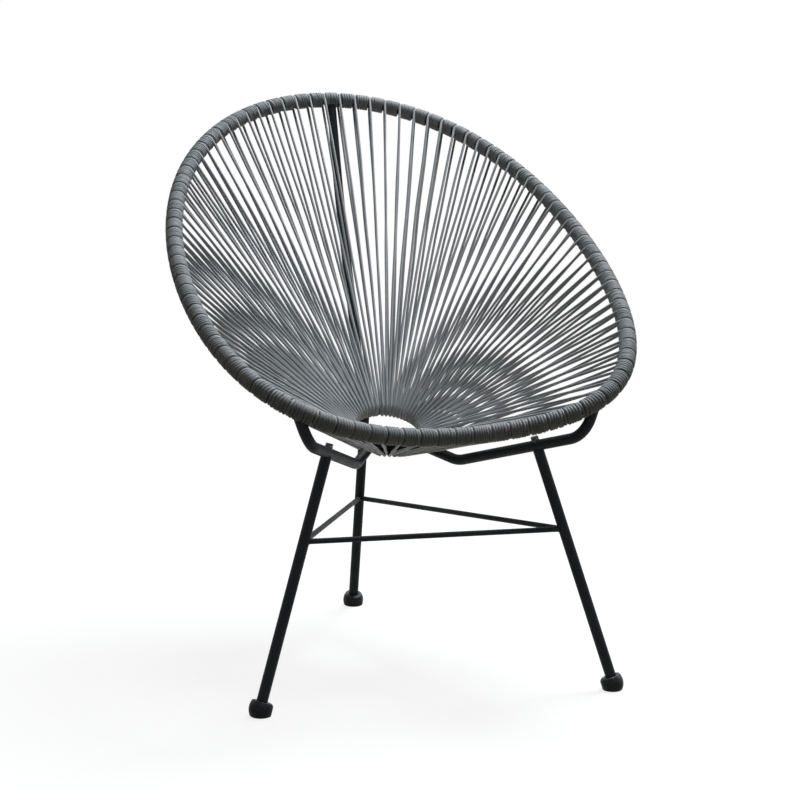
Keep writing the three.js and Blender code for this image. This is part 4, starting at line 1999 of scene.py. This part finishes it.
@dataclass(frozen=True)
class Studio:
    """The pale floor, the world, the soft lamp and the camera.

    Floor and world are white to rays that see or mirror them, and dim to rays that only light.
    """

    camera: PhotoCamera = PhotoCamera()
    lamp: Lamp = Lamp(
        name="key",
        spot=(1.6, 1.1, 4.2),
        aim=(0.0, 0.0, 0.5),
        size=1.8,
        power=215.0,
        colour=(0.92, 0.97, 1.0),
    )
    floor_side: float = 12.0
    white: tuple[float, ...] = (1.0, 1.0, 1.0, 1.0)
    sky_tone: tuple[float, ...] = (1.0, 0.94, 0.80, 1.0)
    sky_strength: float = 0.06
    floor_tone: tuple[float, ...] = (0.24, 0.24, 0.24, 1.0)
    floor_glow: float = 0.85
    fade_to_white: tuple[float, float] = (0.9, 1.7)
    bounce_centre: tuple[float, float, float] = (0.05, 0.0, 0.0)
    bounce_reach: tuple[float, float] = (0.3, 0.8)
    bounce_near: tuple[float, ...] = (0.38, 0.31, 0.19, 1.0)
    bounce_far: tuple[float, ...] = (0.05, 0.045, 0.03, 1.0)

    def _world(self) -> None:
        """Makes the world white as seen, and dim as a light."""
        world = bpy.data.worlds.new("studio_world")
        world.use_nodes = True
        sheet = NodeSheet(world.node_tree)
        shades = []
        for label, tone, strength in (
            ("as a light", self.sky_tone, self.sky_strength),
            ("as seen", self.white, 1.0),
        ):
            shade = sheet.add("ShaderNodeBackground", label)
            shade.inputs["Color"].default_value = tone
            shade.inputs["Strength"].default_value = strength
            shades.append(shade)
        both = sheet.join_shaders(*shades, sheet.seen_rays())
        out = sheet.add("ShaderNodeOutputWorld")
        sheet.link(both.outputs[0], out.inputs["Surface"])
        bpy.context.scene.world = world

    def _floor_seen(self, sheet: NodeSheet, spot: bpy.types.NodeSocket) -> bpy.types.Node:
        """Adds the floor as seen: pale with the chair's shadow, and white further out.

        Args:
            sheet: the floor's node sheet.
            spot: the place on the floor.

        Returns:
            The shader's node.
        """
        matt = sheet.add("ShaderNodeBsdfDiffuse", "seen, with shadow")
        matt.inputs["Color"].default_value = self.floor_tone
        glow = sheet.add("ShaderNodeEmission", "seen, own white")
        glow.inputs["Strength"].default_value = self.floor_glow
        far = sheet.add("ShaderNodeEmission", "far white")
        far.inputs["Strength"].default_value = 1.0
        reach = sheet.add("ShaderNodeVectorMath", operation="LENGTH")
        sheet.link(spot, reach.inputs[0])
        fade = sheet.spread(reach.outputs["Value"], self.fade_to_white)
        return sheet.join_shaders(sheet.join_shaders(matt, glow), far, fade)

    def _floor_bounce(self, sheet: NodeSheet, spot: bpy.types.NodeSocket) -> bpy.types.Node:
        """Adds the floor as a light: warm, and paler under the seat.

        Args:
            sheet: the floor's node sheet.
            spot: the place on the floor.

        Returns:
            The shader's node.
        """
        away = sheet.add("ShaderNodeVectorMath", operation="DISTANCE")
        away.inputs[1].default_value = self.bounce_centre
        sheet.link(spot, away.inputs[0])
        share = sheet.spread(away.outputs["Value"], self.bounce_reach)
        tone = sheet.mix_colours("paler under the seat", share, self.bounce_near, self.bounce_far)
        bounce = sheet.add("ShaderNodeBsdfDiffuse", "bounce")
        sheet.link(tone, bounce.inputs["Color"])
        return bounce

    def _floor(self) -> None:
        material = bpy.data.materials.new("studio_floor")
        material.use_nodes = True
        sheet = NodeSheet(material.node_tree)
        spot = sheet.add("ShaderNodeTexCoord").outputs["Object"]
        faces = self._floor_bounce(sheet, spot), self._floor_seen(sheet, spot)
        out = sheet.add("ShaderNodeOutputMaterial")
        both = sheet.join_shaders(*faces, sheet.seen_rays())
        sheet.link(both.outputs[0], out.inputs["Surface"])
        bpy.ops.object.select_all(action="DESELECT")
        bpy.ops.mesh.primitive_plane_add(size=self.floor_side, location=(0, 0, 0))
        floor = bpy.context.object
        floor.name = "studio_floor"
        floor.data.materials.append(material)

    def build(self) -> None:
        """Builds the studio."""
        self._floor()
        self._world()
        self.camera.build()
        self.lamp.build()
        bpy.context.scene.view_settings.view_transform = "Standard"


def main() -> None:
    """Builds the studio and the chair, piece by piece."""
    logging.basicConfig(level=logging.INFO, format="%(name)s: %(message)s")
    Studio().build()
    wardrobe = Wardrobe.build()
    lines = ChairLines.from_frame()
    steel = SteelFrame(lines)
    steel.build(wardrobe)
    supports = {
        "front_right": (lines.foot(Side.RIGHT), lines.bracket(Side.RIGHT)[1], "bracket_right"),
        "front_left": (lines.foot(Side.LEFT), lines.bracket(Side.LEFT)[1], "bracket_left"),
        "rear": (lines.foot(None), lines.spine()[1], "spine_tube"),
    }
    legs = {
        name: Leg(name, foot, seat, steel.tubes[node])
        for name, (foot, seat, node) in supports.items()
    }
    for leg in legs.values():
        leg.build(wardrobe)
    Braces(legs).build(wardrobe.steel)
    RimBinding(lines).build(wardrobe.binding)
    SpineTie(lines).build(wardrobe.binding)
    SeatLacing(lines).build(wardrobe.lacing)


if __name__ == "__main__":
    main()
